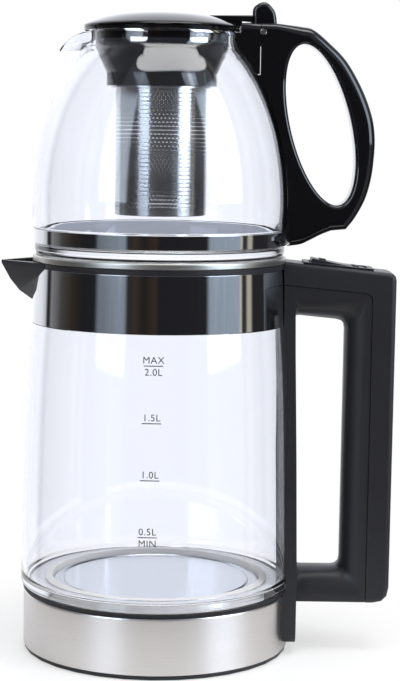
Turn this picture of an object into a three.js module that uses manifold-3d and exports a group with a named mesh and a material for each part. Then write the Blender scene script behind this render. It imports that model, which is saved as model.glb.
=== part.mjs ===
import * as THREE from "three";
import { ConvexGeometry } from "three/addons/geometries/ConvexGeometry.js";
import { mergeVertices } from "three/addons/utils/BufferGeometryUtils.js";
import Module from "manifold-3d";

// A tea maker: an electric glass kettle that carries a glass teapot on its rim.
// Millimetres, +Z up. The origin lies on the vessels' common axis, at the plane the kettle stands on.
// Both handles point to +X and both spouts to -X.

// Fits
const SEAT_GAP = 0.3; // between pieces that rest on or lie in each other
const TURN_GAP = 0.25; // round a pin in its hole
const SLIDE_GAP = 0.4; // beside what turns in a slot
const OVERRUN = 8; // how far a cutting solid runs past what it cuts

// Facets
const RING_FACETS = 32;
const INFUSER_FACETS = 24;
const SMALL_FACETS = 16; // also of hidden rings that only have others round them
const PIN_FACETS = 12;
const SCREW_FACETS = 8;
const CORNER_FACETS = 3;

// Kettle base
const BASE_RADIUS = 75;
const BASE_SHELL_HEIGHT = 31.2;
const BASE_SHEET = 0.8;
const BASE_SHOULDER = 1.2; // radius of the shell's upper edge
const BASE_SHOULDER_SHARE = 0.3; // of the shoulder, where its slanting corner turns
const COVER_RIM_HEIGHT = 2.2; // what shows of the bottom cover below the shell
const COVER_RIM_INSET = 0.5;
const COVER_RIM_WIDTH = 8;
const COVER_RIM_CHAMFER = 0.6;
const COVER_PLATE_Z = 3;
const COVER_PLATE = 2.4;
const COVER_UPSTAND_HEIGHT = 5;
const COVER_UPSTAND_WALL = 2.2;

// Connector under the kettle, where a power base plugs in
const CONNECTOR_RADIUS = 17.3;
const CONNECTOR_WALL = 2.1;
const CONNECTOR_FOOT_Z = 0.9;
const CONNECTOR_ROOF_Z = 13;
const CONNECTOR_ROOF = 3;
const CONNECTOR_FLANGE = 3.7; // how far its collar reaches over the cover
const CONNECTOR_FLANGE_HEIGHT = 2;
const EARTH_RING_RADIUS = 8.9;
const EARTH_RING_WALL = 0.9;
const EARTH_RING_FOOT_Z = 3;
const LIVE_PIN_RADIUS = 2.5;
const LIVE_PIN_TIP_Z = 1;
const LIVE_PIN_TIP_CHAMFER = 0.5;
const LIVE_PIN_HEAD_RADIUS = 4.5;
const LIVE_PIN_HEAD = 2.6;

// Heater and the chassis that clamps it
const HEATER_INSET = 16.4; // of the plate's edge behind the base's side
const HEATER_RISE = 4.8; // of the plate's face over the shell's top
const HEATER_SHEET = 0.8;
const HEATER_EDGE = 1; // rounding of the plate's edge
const HEATER_SKIRT_HEIGHT = 4.3;
const HEATER_GROOVE_INSET = 5.1;
const HEATER_GROOVE_WIDTH = 3.2;
const HEATER_GROOVE_DEPTH = 0.8;
const SPREADER_INSET = 10.6; // behind the plate's edge
const SPREADER_HEIGHT = 4;
const ELEMENT_INSET = 14; // of the tube's centre behind the spreader's edge
const ELEMENT_TUBE_RADIUS = 3.4;
const ELEMENT_SWEEP_DEG = 290;
const ELEMENT_STEPS = 17;
const CHASSIS_Z = 22;
const CHASSIS_PLATE = 2;
const CHASSIS_BORE_MARGIN = 2.3; // between the bosses and the chassis's bore
const CHASSIS_WALL = 1.6;
const BOSS_INSET = 3; // of the bosses' circle behind the spreader's edge
const BOSS_RADIUS = 4.2;
const BOSS_COUNT = 3;
const BOSS_START_DEG = 90;
const SCREW_RADIUS = 1.6;
const SCREW_LENGTH = 10;
const SCREW_HEAD_RADIUS = 3.2;
const SCREW_HEAD = 1.8;
const CONTROL_LENGTH = 34;
const CONTROL_WIDTH = 30;
const CONTROL_CORNER = 4;
const CONTROL_BOSS_RADIUS = 12;

// Kettle glass
const BASE_SEAL_HEIGHT = 2;
const BASE_SEAL_FLARE = 0.5;
const GLASS_HEIGHT = 159.7;
const GLASS_WALL = 3;
const GLASS_FLOOR = 3.5;
const GLASS_OVERHANG = 1.5; // of the glass's foot past the base
const GLASS_NARROWING = 5.7; // from its foot to its shoulder
const GLASS_FOOT_ROUND = 3;
const GLASS_STRAIGHT_SHARE = 0.5; // how much of its narrowing is a plain taper
const GLASS_BEND_POWER = 4;
const GLASS_STATIONS = 4;
const PLATE_SEAL_WALL = 1.3;
const PLATE_SEAL_LIP = 2.6;
const PLATE_SEAL_LIP_HEIGHT = 0.9;

// Kettle rim and spout
const BAND_HEIGHT = 30.8;
const BAND_SHEET = 0.6;
const BAND_STEP = 0.2; // of its foot past the glass's shoulder
const BAND_NARROWING = 0.9;
const GASKET_HEIGHT = 1.8;
const COLLAR_WALL_HEIGHT = 17.3;
const COLLAR_WALL = 4.4;
const COLLAR_FLANGE_HEIGHT = 2.7;
const COLLAR_FLANGE_STEP = 0.2; // of the flange past the band's top
const SEAT_RING_HEIGHT = 3.3;
const SEAT_RING_SHEET = 0.9;
const SEAT_RING_STEP = 0.2; // of the ring past the flange
const SEAT_RING_WIDTH = 10.3;
const SEAT_RING_NECK = 6; // how far its bore reaches down into the collar
const SEAT_RING_ROUND = 1;
const SPOUT_OUT = 13.2; // of its tip past the base's side
const SPOUT_TIP_DROP = 0.5;
const SPOUT_TIP_HALF_WIDTH = 1.2;
const SPOUT_TIP_THICKNESS = 1.6;
const SPOUT_ROOT_DEG = 28.9; // half angle of the spout's mouth at the rim
const SPOUT_DEPTH = 23; // of its lowest point below its upper edge
const SPOUT_BELLY_SHARES = [
  [0.94, 0.15],
  [0.71, 0.47],
  [0.42, 0.74],
]; // keel points: share of the reach past the collar, share of the depth
const SPOUT_WALL = 1.8;
const SPOUT_TIP_WALL_SHARE = 1.6; // its wall at the tip, as a share of the wall elsewhere
const SPOUT_ROOT_INSET = 9.5;

// Kettle handle, with places along X from the base's side
const HANDLE_HALF_WIDTH = 15;
const HANDLE_OUT = 56.4;
const HANDLE_ROOT_INSET = 15;
const HANDLE_TOP_RISE = 1.3; // of its upper edge over the collar, at the collar
const HANDLE_TOP_SLOPE_DEG = 5.2;
const HANDLE_EDGE = 2.4; // rounding along its outer edges
const HANDLE_TOP_CORNER = 4;
const HANDLE_FOOT_CORNER = 9;
const HANDLE_FOOT_Z = 28;
const HANDLE_GAP_FOOT_Z = 46.5;
const HANDLE_GAP_TOP_DROP = 28.5; // of the finger gap's top below the collar's top
const HANDLE_GAP_OUTER_OUT = 29;
const HANDLE_GAP_TOP_OUT = 0.8; // of the gap's inner side at its top
const HANDLE_GAP_FOOT_OUT = 4; // of the gap's inner side at its foot
const HANDLE_GAP_CORNER = 5;
const HANDLE_FLARE = 7.5; // how far the gap widens at the handle's faces
const HANDLE_FLARE_SHARES = [
  [0.28, 0],
  [0.62, 0.3],
  [1, 1],
]; // share of the half width, share of the flare
const HANDLE_SEAM_OUT = 43.3;
const HANDLE_SEAM_DROP = 12.6; // of the seam below the handle's top
const HANDLE_SEAM_CORNER = 4;
const HANDLE_SEAM_GAP = 0.3;
const HANDLE_INSET = 0.5; // how far the inner frame's sides lie behind the cover's
const RIB_HALF_WIDTH_TOP = 14.2;
const RIB_HALF_WIDTH_FOOT = 23;
const RIB_WIDE_Z = 110;
const LEG_FOOT_Z = 5.5;
const LEG_CORNER = 9;
const HANDLE_SCREW_RADIUS = 1.5;
const HANDLE_SCREW_HEAD_RADIUS = 3.1;
const HANDLE_SCREW_HEAD = 1.8;
const LEG_SCREW_Z = 15;
const LEG_SCREW_OUT = 3;
const RIM_SCREW_DROP = 5; // below the collar's flange
const RIM_SCREW_OUT = 2.5;

// Switch on the kettle handle
const SWITCH_OUT = 24.4; // of its middle past the base's side
const SWITCH_LENGTH = 31.5;
const SWITCH_HALF_WIDTH = 7.6;
const SWITCH_TILT_DEG = 5.2; // of the rocker against the handle's top, its outer end down
const SWITCH_THICKNESS = 3.4;
const SWITCH_KEEL = 3.6;
const SWITCH_RISE = 1.9; // of the rocker's middle over the handle's top
const SWITCH_PIVOT_DROP = 1.6;
const SWITCH_PIVOT_RADIUS = 1.6;
const SWITCH_PIVOT_REACH = 9;
const SWITCH_DIMPLE_OFFSET = 9.4;
const SWITCH_DIMPLE_LENGTH = 3.8;
const SWITCH_DIMPLE_HALF_WIDTH = 3.4;
const SWITCH_DIMPLE_HEIGHT = 0.6;
const BEZEL_MARGIN = 0.6; // between the rocker and its frame
const BEZEL_WALL = 2;
const BEZEL_LIP = 1.2;
const BEZEL_LIP_HEIGHT = 0.8;
const BEZEL_DEPTH = 9;
const SENSOR_LENGTH = 20;
const SENSOR_WIDTH = 10;
const SENSOR_HEIGHT = 4.2;
const SENSOR_OFFSET = 3;
const SENSOR_DROP = 2.1; // below the rocker's keel

// Teapot
const POT_BAND_Z = 6.4; // of the band's foot over the pot's
const POT_BAND_HEIGHT = 7.7;
const POT_BAND_SHEET = 0.7;
const POT_FOOT_INSET = 0.9; // of its foot behind the band
const POT_FOOT_ROUND = 3.4;
const POT_FOOT_ROUND_SHARE = 0.6; // of that rounding's height against its depth
const POT_BELLY_Z = 27.4;
const POT_BELLY_STEP = 0.5; // of its belly past the band
const POT_DOME_HEIGHT = 108; // of the whole ellipse that the dome follows
const POT_DOME_STATIONS = 6;
const POT_NECK_RADIUS = 41.5;
const POT_NECK_HEIGHT = 7.6;
const POT_WALL = 2.4;
const POT_FLOOR = 4;
const POT_FLOOR_ROUND = 6;
const POT_PUNT_INSET = 7.6; // of the hollow under its floor, behind its foot
const POT_PUNT_HEIGHT = 1.2;
const LIP_OUT = 15.7; // of its tip past the neck
const LIP_DROP = 10.4; // of the lip's tip below the pot's rim
const LIP_TIP_THICKNESS = 0.9;
const LIP_TIP_HALF_WIDTH = 4.2;
const LIP_ROOT_HALF_WIDTH = 15;
const LIP_ROOT_DEPTH = 9.8;
const LIP_WALL = 1.9;
const LIP_KEEL_SHARE = 0.8; // of the lip's half width, where it meets the neck's foot
const LIP_FLOOR_SHARE = 1.5; // of its wall, under the channel at the neck
const LIP_CREST_SHARES = [
  [0.13, 0.14],
  [0.49, 0.27],
  [0.76, 0.56],
  [0.87, 0.76],
]; // share of the lip's reach, share of its drop
const NECK_CLIP_SHEET = 0.6;
const NECK_CLIP_HEIGHT = 1;
const NECK_CLIP_DROP = 1.6; // of its foot below the pot's rim
const NECK_CLIP_END_SHARE = 0.72; // how far round it reaches, as a share of the neck's radius towards the lip

// Teapot handle and lid hinge, with places along X from the hinge
const POT_HANDLE_HALF_WIDTH = 10.5;
const POT_HANDLE_EDGE = 2.4;
const POT_HANDLE_SEAM_IN = 1.5;
const POT_HANDLE_SEAM_GAP = 0.3;
const HINGE_BLOCK_TOP_RISE = 5; // over the pot's rim
const HINGE_OUT = 14; // of the hinge past the neck
const HINGE_RISE = 0.3; // of the hinge pin over the pot's rim
const HINGE_PIN_RADIUS = 1.5;
const LEVER_HALF_WIDTH = 6;
const LEVER_KNUCKLE_RADIUS = 6.2;
const LEVER_KNUCKLE_SHARE = 0.9; // of its radius, where the arm's underside meets it
const LEVER_FACE_IN = 6;
const LEVER_FIN_HEIGHT = 16.3; // over the hinge pin
const LEVER_FIN_SHARES = [
  [-0.36, 0.76],
  [-0.2, 0.93],
  [0, 1],
  [0.18, 0.93],
  [0.385, 0.67],
  [0.46, 0.27],
]; // the fin's outline round the pin, as shares of its height
const SLOT_FRONT_IN = 6.9;
const SLOT_FLOOR_DROP = 7.6; // below the hinge pin
const SLOT_RAMP_OUT = 7.1;
const SLOT_END_OUT = 17.5;
const SLOT_END_DROP = 1.6;
const HOLE_FACETS = 22;
const SADDLE_HALF_WIDTH = 33;
const SADDLE_WALL = 2.6;
const SADDLE_HEIGHT = 11;
const SADDLE_CORNER = 5;
const SADDLE_FOOT_SHARE = 0.75; // of its half width, at its narrow foot
const SADDLE_SHOULDER_SHARE = 0.4; // of its height, where it is widest

// The handle's form hangs on the line from the pot's belly, at its foot, to its neck, at its rim:
// each point is how far out it lies from that line, and the share of the pot's height that it has reached
const POT_HANDLE_BACK = [
  [35.1, 1.029],
  [41.9, 1.016],
  [49.5, 0.954],
  [56.0, 0.884],
  [60.3, 0.796],
  [62.9, 0.708],
  [63.9, 0.619],
  [62.7, 0.531],
  [59.7, 0.441],
  [55.7, 0.351],
  [50.0, 0.261],
  [42.3, 0.179],
  [35.8, 0.126],
];
const POT_HANDLE_FOOT = [
  [27.3, 0.119],
  [21.1, 0.100],
  [15.0, 0.077],
  [8.8, 0.056],
  [1.9, 0.048],
];
const HOLE_CENTRE = [34.3, 0.593];
const HOLE_HALF_WIDTH = 17;
const HOLE_HALF_SHARE = 0.357; // half its height
const HOLE_LEAN = 2.7; // how far its long axis leans out over the pot's whole height

// Lid
const LID_OVERHANG = 1.8; // past the pot's neck
const LID_RIM_HEIGHT = 3.3;
const LID_SWING_GAP = 0.9; // between its rim and the hinge block, for the rim's swing
const LID_OVERLAP = 0.2; // how far the lid's rim reaches below the pot's
const LID_DOME_HEIGHT = 7.3;
const LID_DOME_POWER = 3;
const LID_DOME_STATIONS = 4;
const LID_SHEET = 1.8;
const LID_RIM_WALL = 0.9;
const LID_CAVITY_INSET = 7.5;
const LID_ARM_HALF_WIDTH = 8;
const LID_ARM_TOP_RISE = 9.2; // over the pot's rim
const LID_ARM_FOOT_RISE = 5.6;
const LID_ARM_INSET = 17.3; // of its start behind the lid's rim
const LID_WEB_INSET = 0.3; // of the web under the arm, behind the lid's rim
const LID_WEB_HALF_WIDTH = 7;
const LINER_HEIGHT = 1.8;
const LINER_UPSTAND = 2;
const LINER_WALL = 2;

// Infuser
const INFUSER_FLANGE_INSET = 0.5; // behind the pot's neck
const INFUSER_FLANGE = 1.2;
const INFUSER_COLLAR_INSET = 4.5; // behind the pot's neck
const INFUSER_COLLAR_DEPTH = 9.5; // of its straight part below the flange
const INFUSER_CONE_DEPTH = 14;
const INFUSER_WAIST_INSET = 6.4; // behind the collar
const INFUSER_WAIST_DEPTH = 7;
const INFUSER_WALL = 1.6;
const WINDOW_HALF_DEG = 10.6;
const WINDOW_HEIGHT = 7.5;
const WINDOW_CORNER = 2;
const WINDOW_ANGLES_DEG = [-90, -21.5, 35.5, 90, 144.5, 201.5]; // from -Y towards +X
const TUBE_INSET = 5.2; // behind the waist
const TUBE_SHEET = 0.6;
const TUBE_FOOT_RISE = 17.6; // over the pot's floor
const TUBE_FLANGE = 2.4;
const TUBE_BASE_HEIGHT = 2.4;

// Radii that follow from the sizes above
const shellInnerRadius = BASE_RADIUS - BASE_SHEET;
const heaterRadius = BASE_RADIUS - HEATER_INSET;
const heaterGrooveRadius = heaterRadius - HEATER_GROOVE_INSET;
const spreaderRadius = heaterRadius - SPREADER_INSET;
const elementRadius = spreaderRadius - ELEMENT_INSET;
const bossCircleRadius = spreaderRadius - BOSS_INSET;
const chassisBoreRadius = bossCircleRadius - BOSS_RADIUS - CHASSIS_BORE_MARGIN;
const glassHoleRadius = heaterRadius + PLATE_SEAL_WALL + 2 * SEAT_GAP;
const glassFootRadius = BASE_RADIUS + GLASS_OVERHANG;
const glassShoulderRadius = glassFootRadius - GLASS_NARROWING;
const bandFootRadius = glassShoulderRadius + BAND_STEP;
const bandTopRadius = bandFootRadius - BAND_NARROWING;
const collarRadius = bandTopRadius - BAND_SHEET - SEAT_GAP;
const collarBoreRadius = collarRadius - COLLAR_WALL;
const collarFlangeRadius = bandTopRadius + COLLAR_FLANGE_STEP;
const seatRingRadius = collarFlangeRadius + SEAT_RING_STEP;
const seatBoreRadius = seatRingRadius - SEAT_RING_WIDTH;
const potBandRadius = seatRingRadius;
const potFootRadius = potBandRadius - POT_FOOT_INSET;
const potPuntRadius = potFootRadius - POT_PUNT_INSET;
const potBellyRadius = potBandRadius + POT_BELLY_STEP;
const lidRadius = POT_NECK_RADIUS + LID_OVERHANG;
const lidCavityRadius = lidRadius - LID_CAVITY_INSET;
const infuserFlangeRadius = POT_NECK_RADIUS - INFUSER_FLANGE_INSET;
const infuserCollarRadius = POT_NECK_RADIUS - INFUSER_COLLAR_INSET;
const infuserWaistRadius = infuserCollarRadius - INFUSER_WAIST_INSET;
const tubeRadius = infuserWaistRadius - TUBE_INSET;

// Places along X that follow from them
const spoutTipX = BASE_RADIUS + SPOUT_OUT;
const lipTipX = POT_NECK_RADIUS + LIP_OUT;
const handleEndX = BASE_RADIUS + HANDLE_OUT;
const handleRootX = BASE_RADIUS - HANDLE_ROOT_INSET;
const gapOuterX = BASE_RADIUS + HANDLE_GAP_OUTER_OUT;
const gapTopX = BASE_RADIUS + HANDLE_GAP_TOP_OUT;
const gapFootX = BASE_RADIUS + HANDLE_GAP_FOOT_OUT;
const handleSeamX = BASE_RADIUS + HANDLE_SEAM_OUT;
const legScrewTipX = BASE_RADIUS + LEG_SCREW_OUT;
const rimScrewTipX = BASE_RADIUS + RIM_SCREW_OUT;
const switchX = BASE_RADIUS + SWITCH_OUT;
const hingeX = POT_NECK_RADIUS + HINGE_OUT;
const potHandleSeamX = hingeX - POT_HANDLE_SEAM_IN;
const leverFaceX = hingeX - LEVER_FACE_IN;
const slotFrontX = hingeX - SLOT_FRONT_IN;
const slotRampX = hingeX + SLOT_RAMP_OUT;
const slotEndX = hingeX + SLOT_END_OUT;
const lidArmStartX = lidRadius - LID_ARM_INSET;

// Heights that follow from the sizes above
const baseFootZ = COVER_RIM_HEIGHT + SEAT_GAP;
const baseTopZ = baseFootZ + BASE_SHELL_HEIGHT;
const baseSealZ = baseTopZ + SEAT_GAP;
const glassFootZ = baseSealZ + BASE_SEAL_HEIGHT + SEAT_GAP;
const glassTopZ = glassFootZ + GLASS_HEIGHT;
const glassFloorZ = glassFootZ + GLASS_FLOOR;
const collarFootZ = glassTopZ + GASKET_HEIGHT + 2 * SEAT_GAP;
const flangeFootZ = collarFootZ + COLLAR_WALL_HEIGHT;
const collarTopZ = flangeFootZ + COLLAR_FLANGE_HEIGHT;
const bandTopZ = flangeFootZ - SEAT_GAP;
const bandFootZ = bandTopZ - BAND_HEIGHT;
const seatRingZ = collarTopZ + SEAT_GAP;
const seatTopZ = seatRingZ + SEAT_RING_HEIGHT;
const potFootZ = seatTopZ + SEAT_GAP;
const potBandZ = potFootZ + POT_BAND_Z;
const potBellyZ = potFootZ + POT_BELLY_Z;
const potNeckZ = potBellyZ + POT_DOME_HEIGHT * Math.sqrt(1 - (POT_NECK_RADIUS / potBellyRadius) ** 2);
const potRimZ = potNeckZ + POT_NECK_HEIGHT;
const hingeZ = potRimZ + HINGE_RISE;
const infuserTopZ = potRimZ + SEAT_GAP + INFUSER_FLANGE;
const lidFootZ = potRimZ - LID_OVERLAP;
const lidRimZ = lidFootZ + LID_RIM_HEIGHT;
const lidCeilingZ = infuserTopZ + SEAT_GAP;
const heaterFaceZ = baseTopZ + HEATER_RISE;
const coverTopZ = COVER_PLATE_Z + COVER_PLATE;
const potHeight = potRimZ - potFootZ;
const infuserSeatZ = infuserTopZ - INFUSER_FLANGE - INFUSER_COLLAR_DEPTH - INFUSER_CONE_DEPTH - INFUSER_WAIST_DEPTH;
const tubeFootZ = potFootZ + POT_FLOOR + TUBE_FOOT_RISE;

const wasm = await Module();
wasm.setup();

// Solids and geometries

function solidOf(geometry) {
  const flat = geometry.index ? geometry.toNonIndexed() : geometry;
  const bare = new THREE.BufferGeometry().setAttribute("position", flat.getAttribute("position"));
  const merged = mergeVertices(bare);
  const corners = merged.index.array;
  const kept = [];
  for (let i = 0; i < corners.length; i += 3) {
    const [a, b, c] = corners.slice(i, i + 3);
    if (a !== b && b !== c && c !== a) kept.push(a, b, c);
  }
  const make = (order) =>
    new wasm.Manifold(
      new wasm.Mesh({
        numProp: 3,
        vertProperties: merged.attributes.position.array,
        triVerts: new Uint32Array(order),
      }),
    );
  const made = make(kept);
  return made.volume() < 0 ? make(kept.reverse()) : made;
}

function geometryOf(solid) {
  const mesh = solid.getMesh();
  const geometry = new THREE.BufferGeometry();
  geometry.setAttribute("position", new THREE.BufferAttribute(new Float32Array(mesh.vertProperties), 3));
  geometry.setIndex(new THREE.BufferAttribute(new Uint32Array(mesh.triVerts), 1));
  const shown = geometry.toNonIndexed();
  shown.computeVertexNormals();
  return shown;
}

const join = (...solids) => solids.reduce((whole, next) => whole.add(next));
const cut = (solid, ...tools) => tools.reduce((rest, tool) => rest.subtract(tool), solid);
const radians = THREE.MathUtils.degToRad;

// A solid of revolution about Z from a profile of [radius, z] points that closes on itself.
function turned(profile, facets = RING_FACETS) {
  const points = profile.map(([r, z]) => new THREE.Vector2(r, z));
  points.push(points[0].clone());
  return solidOf(new THREE.LatheGeometry(points, facets).rotateX(Math.PI / 2));
}

function ring(inner, outer, foot, top, facets = RING_FACETS) {
  return turned([[inner, foot], [outer, foot], [outer, top], [inner, top]], facets);
}

function disc(radius, foot, top, facets = RING_FACETS) {
  return turned([[0, foot], [radius, foot], [radius, top], [0, top]], facets);
}

// A closed outline whose corners [x, y, radius] are rounded where a radius is given.
function outlineOf(corners, facets = CORNER_FACETS) {
  const points = [];
  corners.forEach(([x, y, radius = 0], i) => {
    const corner = new THREE.Vector2(x, y);
    if (!radius) {
      points.push(corner);
      return;
    }
    const before = new THREE.Vector2(...corners[(i + corners.length - 1) % corners.length]);
    const after = new THREE.Vector2(...corners[(i + 1) % corners.length]);
    const start = corner.clone().add(before.sub(corner).setLength(radius));
    const end = corner.clone().add(after.sub(corner).setLength(radius));
    points.push(...new THREE.QuadraticBezierCurve(start, corner, end).getPoints(facets));
  });
  return points;
}

// An outline in X and Z, as thick as twice the half width, centred on Y. The bevel rounds its outer edges.
function slab(outline, halfWidth, bevel = 0) {
  const settings = bevel
    ? {
        depth: 2 * (halfWidth - bevel),
        bevelThickness: bevel,
        bevelSize: bevel,
        bevelOffset: -bevel,
        bevelSegments: 2,
      }
    : { depth: 2 * halfWidth, bevelEnabled: false };
  const geometry = new THREE.ExtrudeGeometry(new THREE.Shape(outline), settings);
  geometry.translate(0, 0, -settings.depth / 2);
  return solidOf(geometry.rotateX(Math.PI / 2));
}

// An outline in Y and Z, drawn out along X.
function slabAlongX(outline, fromX, toX) {
  const geometry = new THREE.ExtrudeGeometry(new THREE.Shape(outline), {
    depth: toX - fromX,
    bevelEnabled: false,
  });
  geometry.translate(0, 0, fromX);
  geometry.rotateX(Math.PI / 2);
  return solidOf(geometry.rotateZ(Math.PI / 2));
}

const hull = (points) => solidOf(new ConvexGeometry(points.map((p) => new THREE.Vector3(...p))));

function block(low, high) {
  const size = high.map((value, i) => value - low[i]);
  const geometry = new THREE.BoxGeometry(...size);
  geometry.translate(...low.map((value, i) => value + size[i] / 2));
  return solidOf(geometry);
}

// A round bar along X, Y or Z between two places on that axis, through the point given.
function bar(axis, radius, from, to, point, facets = PIN_FACETS) {
  const geometry = new THREE.CylinderGeometry(radius, radius, to - from, facets);
  if (axis === "x") geometry.rotateZ(Math.PI / 2);
  if (axis === "z") geometry.rotateX(Math.PI / 2);
  const place = new THREE.Vector3(...point);
  place[axis] = (from + to) / 2;
  geometry.translate(place.x, place.y, place.z);
  return solidOf(geometry);
}

// Turns a solid about the Y line through a point.
function tipped(solid, degrees, x, z) {
  const geometry = geometryOf(solid);
  geometry.translate(-x, 0, -z);
  geometry.rotateY(radians(degrees));
  geometry.translate(x, 0, z);
  return solidOf(geometry);
}

// The vessels' outer forms, which the handles are cut to

function kettleGlassRadius(z) {
  const share = Math.max(0, (z - glassFloorZ) / (bandFootZ - glassFloorZ));
  const narrowing = GLASS_STRAIGHT_SHARE * share + (1 - GLASS_STRAIGHT_SHARE) * share ** GLASS_BEND_POWER;
  return glassFootRadius - (glassFootRadius - glassShoulderRadius) * narrowing;
}

function stations(count, from, to) {
  return Array.from({ length: count + 1 }, (_, i) => from + ((to - from) * i) / count);
}

function kettleEnvelope(gap) {
  const glass = stations(GLASS_STATIONS, glassFloorZ, bandFootZ - SEAT_GAP);
  return turned([
    [0, -OVERRUN],
    [BASE_RADIUS + gap, -OVERRUN],
    [BASE_RADIUS + gap, baseTopZ],
    [glassFootRadius + gap, glassFootZ + GLASS_FOOT_ROUND / 2],
    ...glass.map((z) => [kettleGlassRadius(z) + gap, z]),
    [bandFootRadius + gap, bandFootZ],
    [seatRingRadius + gap, bandTopZ],
    [seatRingRadius + gap, seatTopZ + OVERRUN],
    [0, seatTopZ + OVERRUN],
  ]);
}

function potDome(offset) {
  const top = Math.asin((potNeckZ - potBellyZ) / POT_DOME_HEIGHT);
  return stations(POT_DOME_STATIONS, 0, top).map((angle) => [
    potBellyRadius * Math.cos(angle) + offset,
    potBellyZ + POT_DOME_HEIGHT * Math.sin(angle),
  ]);
}

function potEnvelope(gap) {
  const clipRadius = POT_NECK_RADIUS + SEAT_GAP + NECK_CLIP_SHEET + gap;
  return turned([
    [0, potFootZ - OVERRUN],
    [potBandRadius + gap, potFootZ - OVERRUN],
    [potBandRadius + gap, potBandZ + POT_BAND_HEIGHT],
    ...potDome(gap),
    [POT_NECK_RADIUS + gap, potRimZ - NECK_CLIP_DROP - gap],
    [clipRadius, potRimZ - NECK_CLIP_DROP - gap],
    [clipRadius, potRimZ - LID_OVERLAP - gap],
    [lidRadius + LID_SWING_GAP + gap, potRimZ - LID_OVERLAP - gap],
    [lidRadius + LID_SWING_GAP + gap, potRimZ + OVERRUN],
    [0, potRimZ + OVERRUN],
  ]);
}

// Kettle base

function makeBaseShell() {
  const inner = shellInnerRadius;
  const mouth = heaterRadius + SEAT_GAP;
  const shell = turned([
    [inner, baseFootZ],
    [BASE_RADIUS, baseFootZ],
    [BASE_RADIUS, baseTopZ - BASE_SHOULDER],
    [BASE_RADIUS - BASE_SHOULDER * BASE_SHOULDER_SHARE, baseTopZ - BASE_SHOULDER * BASE_SHOULDER_SHARE],
    [BASE_RADIUS - BASE_SHOULDER, baseTopZ],
    [mouth, baseTopZ],
    [mouth, baseTopZ - BASE_SHEET],
    [inner, baseTopZ - BASE_SHEET],
  ]);
  const screwHole = bar(
    "x", HANDLE_SCREW_RADIUS + TURN_GAP, inner - OVERRUN, BASE_RADIUS + OVERRUN, [0, 0, LEG_SCREW_Z],
  );
  return cut(shell, screwHole);
}

function makeBottomCover() {
  const rim = BASE_RADIUS - COVER_RIM_INSET;
  const upstand = shellInnerRadius - SEAT_GAP;
  const step = baseFootZ - SEAT_GAP;
  const bore = CONNECTOR_RADIUS + SEAT_GAP;
  const cover = turned([
    [bore, COVER_PLATE_Z],
    [rim - COVER_RIM_WIDTH, COVER_PLATE_Z],
    [rim - COVER_RIM_WIDTH, 0],
    [rim - COVER_RIM_CHAMFER, 0],
    [rim, COVER_RIM_CHAMFER],
    [rim, step],
    [upstand, step],
    [upstand, coverTopZ + COVER_UPSTAND_HEIGHT],
    [upstand - COVER_UPSTAND_WALL, coverTopZ + COVER_UPSTAND_HEIGHT],
    [upstand - COVER_UPSTAND_WALL, coverTopZ],
    [bore, coverTopZ],
  ]);
  const holes = bossPlaces().map(([x, y]) =>
    bar("z", SCREW_RADIUS + TURN_GAP, COVER_PLATE_Z - OVERRUN, coverTopZ + OVERRUN, [x, y, 0]),
  );
  return cut(cover, ...holes);
}

function bossPlaces() {
  return Array.from({ length: BOSS_COUNT }, (_, i) => {
    const angle = radians(BOSS_START_DEG + (360 * i) / BOSS_COUNT);
    return [bossCircleRadius * Math.cos(angle), bossCircleRadius * Math.sin(angle)];
  });
}

function makeCoverScrew([x, y]) {
  const headTop = COVER_PLATE_Z - SEAT_GAP / 2;
  return join(
    bar("z", SCREW_HEAD_RADIUS, headTop - SCREW_HEAD, headTop, [x, y, 0], SCREW_FACETS),
    bar("z", SCREW_RADIUS, headTop - SCREW_HEAD / 2, headTop + SCREW_LENGTH, [x, y, 0], SCREW_FACETS),
  );
}

function makeChassis() {
  const wallOuter = heaterRadius - HEATER_SHEET - SEAT_GAP;
  const wallTop = heaterFaceZ - HEATER_SHEET - SEAT_GAP;
  const plateTop = CHASSIS_Z + CHASSIS_PLATE;
  const frame = turned([
    [chassisBoreRadius, CHASSIS_Z],
    [shellInnerRadius - SEAT_GAP, CHASSIS_Z],
    [shellInnerRadius - SEAT_GAP, plateTop],
    [wallOuter, plateTop],
    [wallOuter, wallTop],
    [wallOuter - CHASSIS_WALL, wallTop],
    [wallOuter - CHASSIS_WALL, plateTop],
    [chassisBoreRadius, plateTop],
  ]);
  const bossFoot = coverTopZ + SEAT_GAP;
  const bosses = bossPlaces().map(([x, y]) =>
    bar("z", BOSS_RADIUS, bossFoot, CHASSIS_Z + CHASSIS_PLATE / 2, [x, y, 0]),
  );
  const bores = bossPlaces().map(([x, y]) =>
    bar("z", SCREW_RADIUS + TURN_GAP, bossFoot - OVERRUN, COVER_PLATE_Z + SCREW_LENGTH + SEAT_GAP, [x, y, 0]),
  );
  return cut(join(frame, ...bosses), ...bores);
}

// Connector

function makeConnectorHousing() {
  const bore = LIVE_PIN_RADIUS + SEAT_GAP;
  const flangeFoot = coverTopZ + SEAT_GAP;
  return turned(
    [
      [bore, CONNECTOR_ROOF_Z],
      [CONNECTOR_RADIUS - CONNECTOR_WALL, CONNECTOR_ROOF_Z],
      [CONNECTOR_RADIUS - CONNECTOR_WALL, CONNECTOR_FOOT_Z],
      [CONNECTOR_RADIUS, CONNECTOR_FOOT_Z],
      [CONNECTOR_RADIUS, flangeFoot],
      [CONNECTOR_RADIUS + CONNECTOR_FLANGE, flangeFoot],
      [CONNECTOR_RADIUS + CONNECTOR_FLANGE, flangeFoot + CONNECTOR_FLANGE_HEIGHT],
      [CONNECTOR_RADIUS, flangeFoot + CONNECTOR_FLANGE_HEIGHT],
      [CONNECTOR_RADIUS, CONNECTOR_ROOF_Z + CONNECTOR_ROOF],
      [bore, CONNECTOR_ROOF_Z + CONNECTOR_ROOF],
    ],
    SMALL_FACETS,
  );
}

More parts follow.
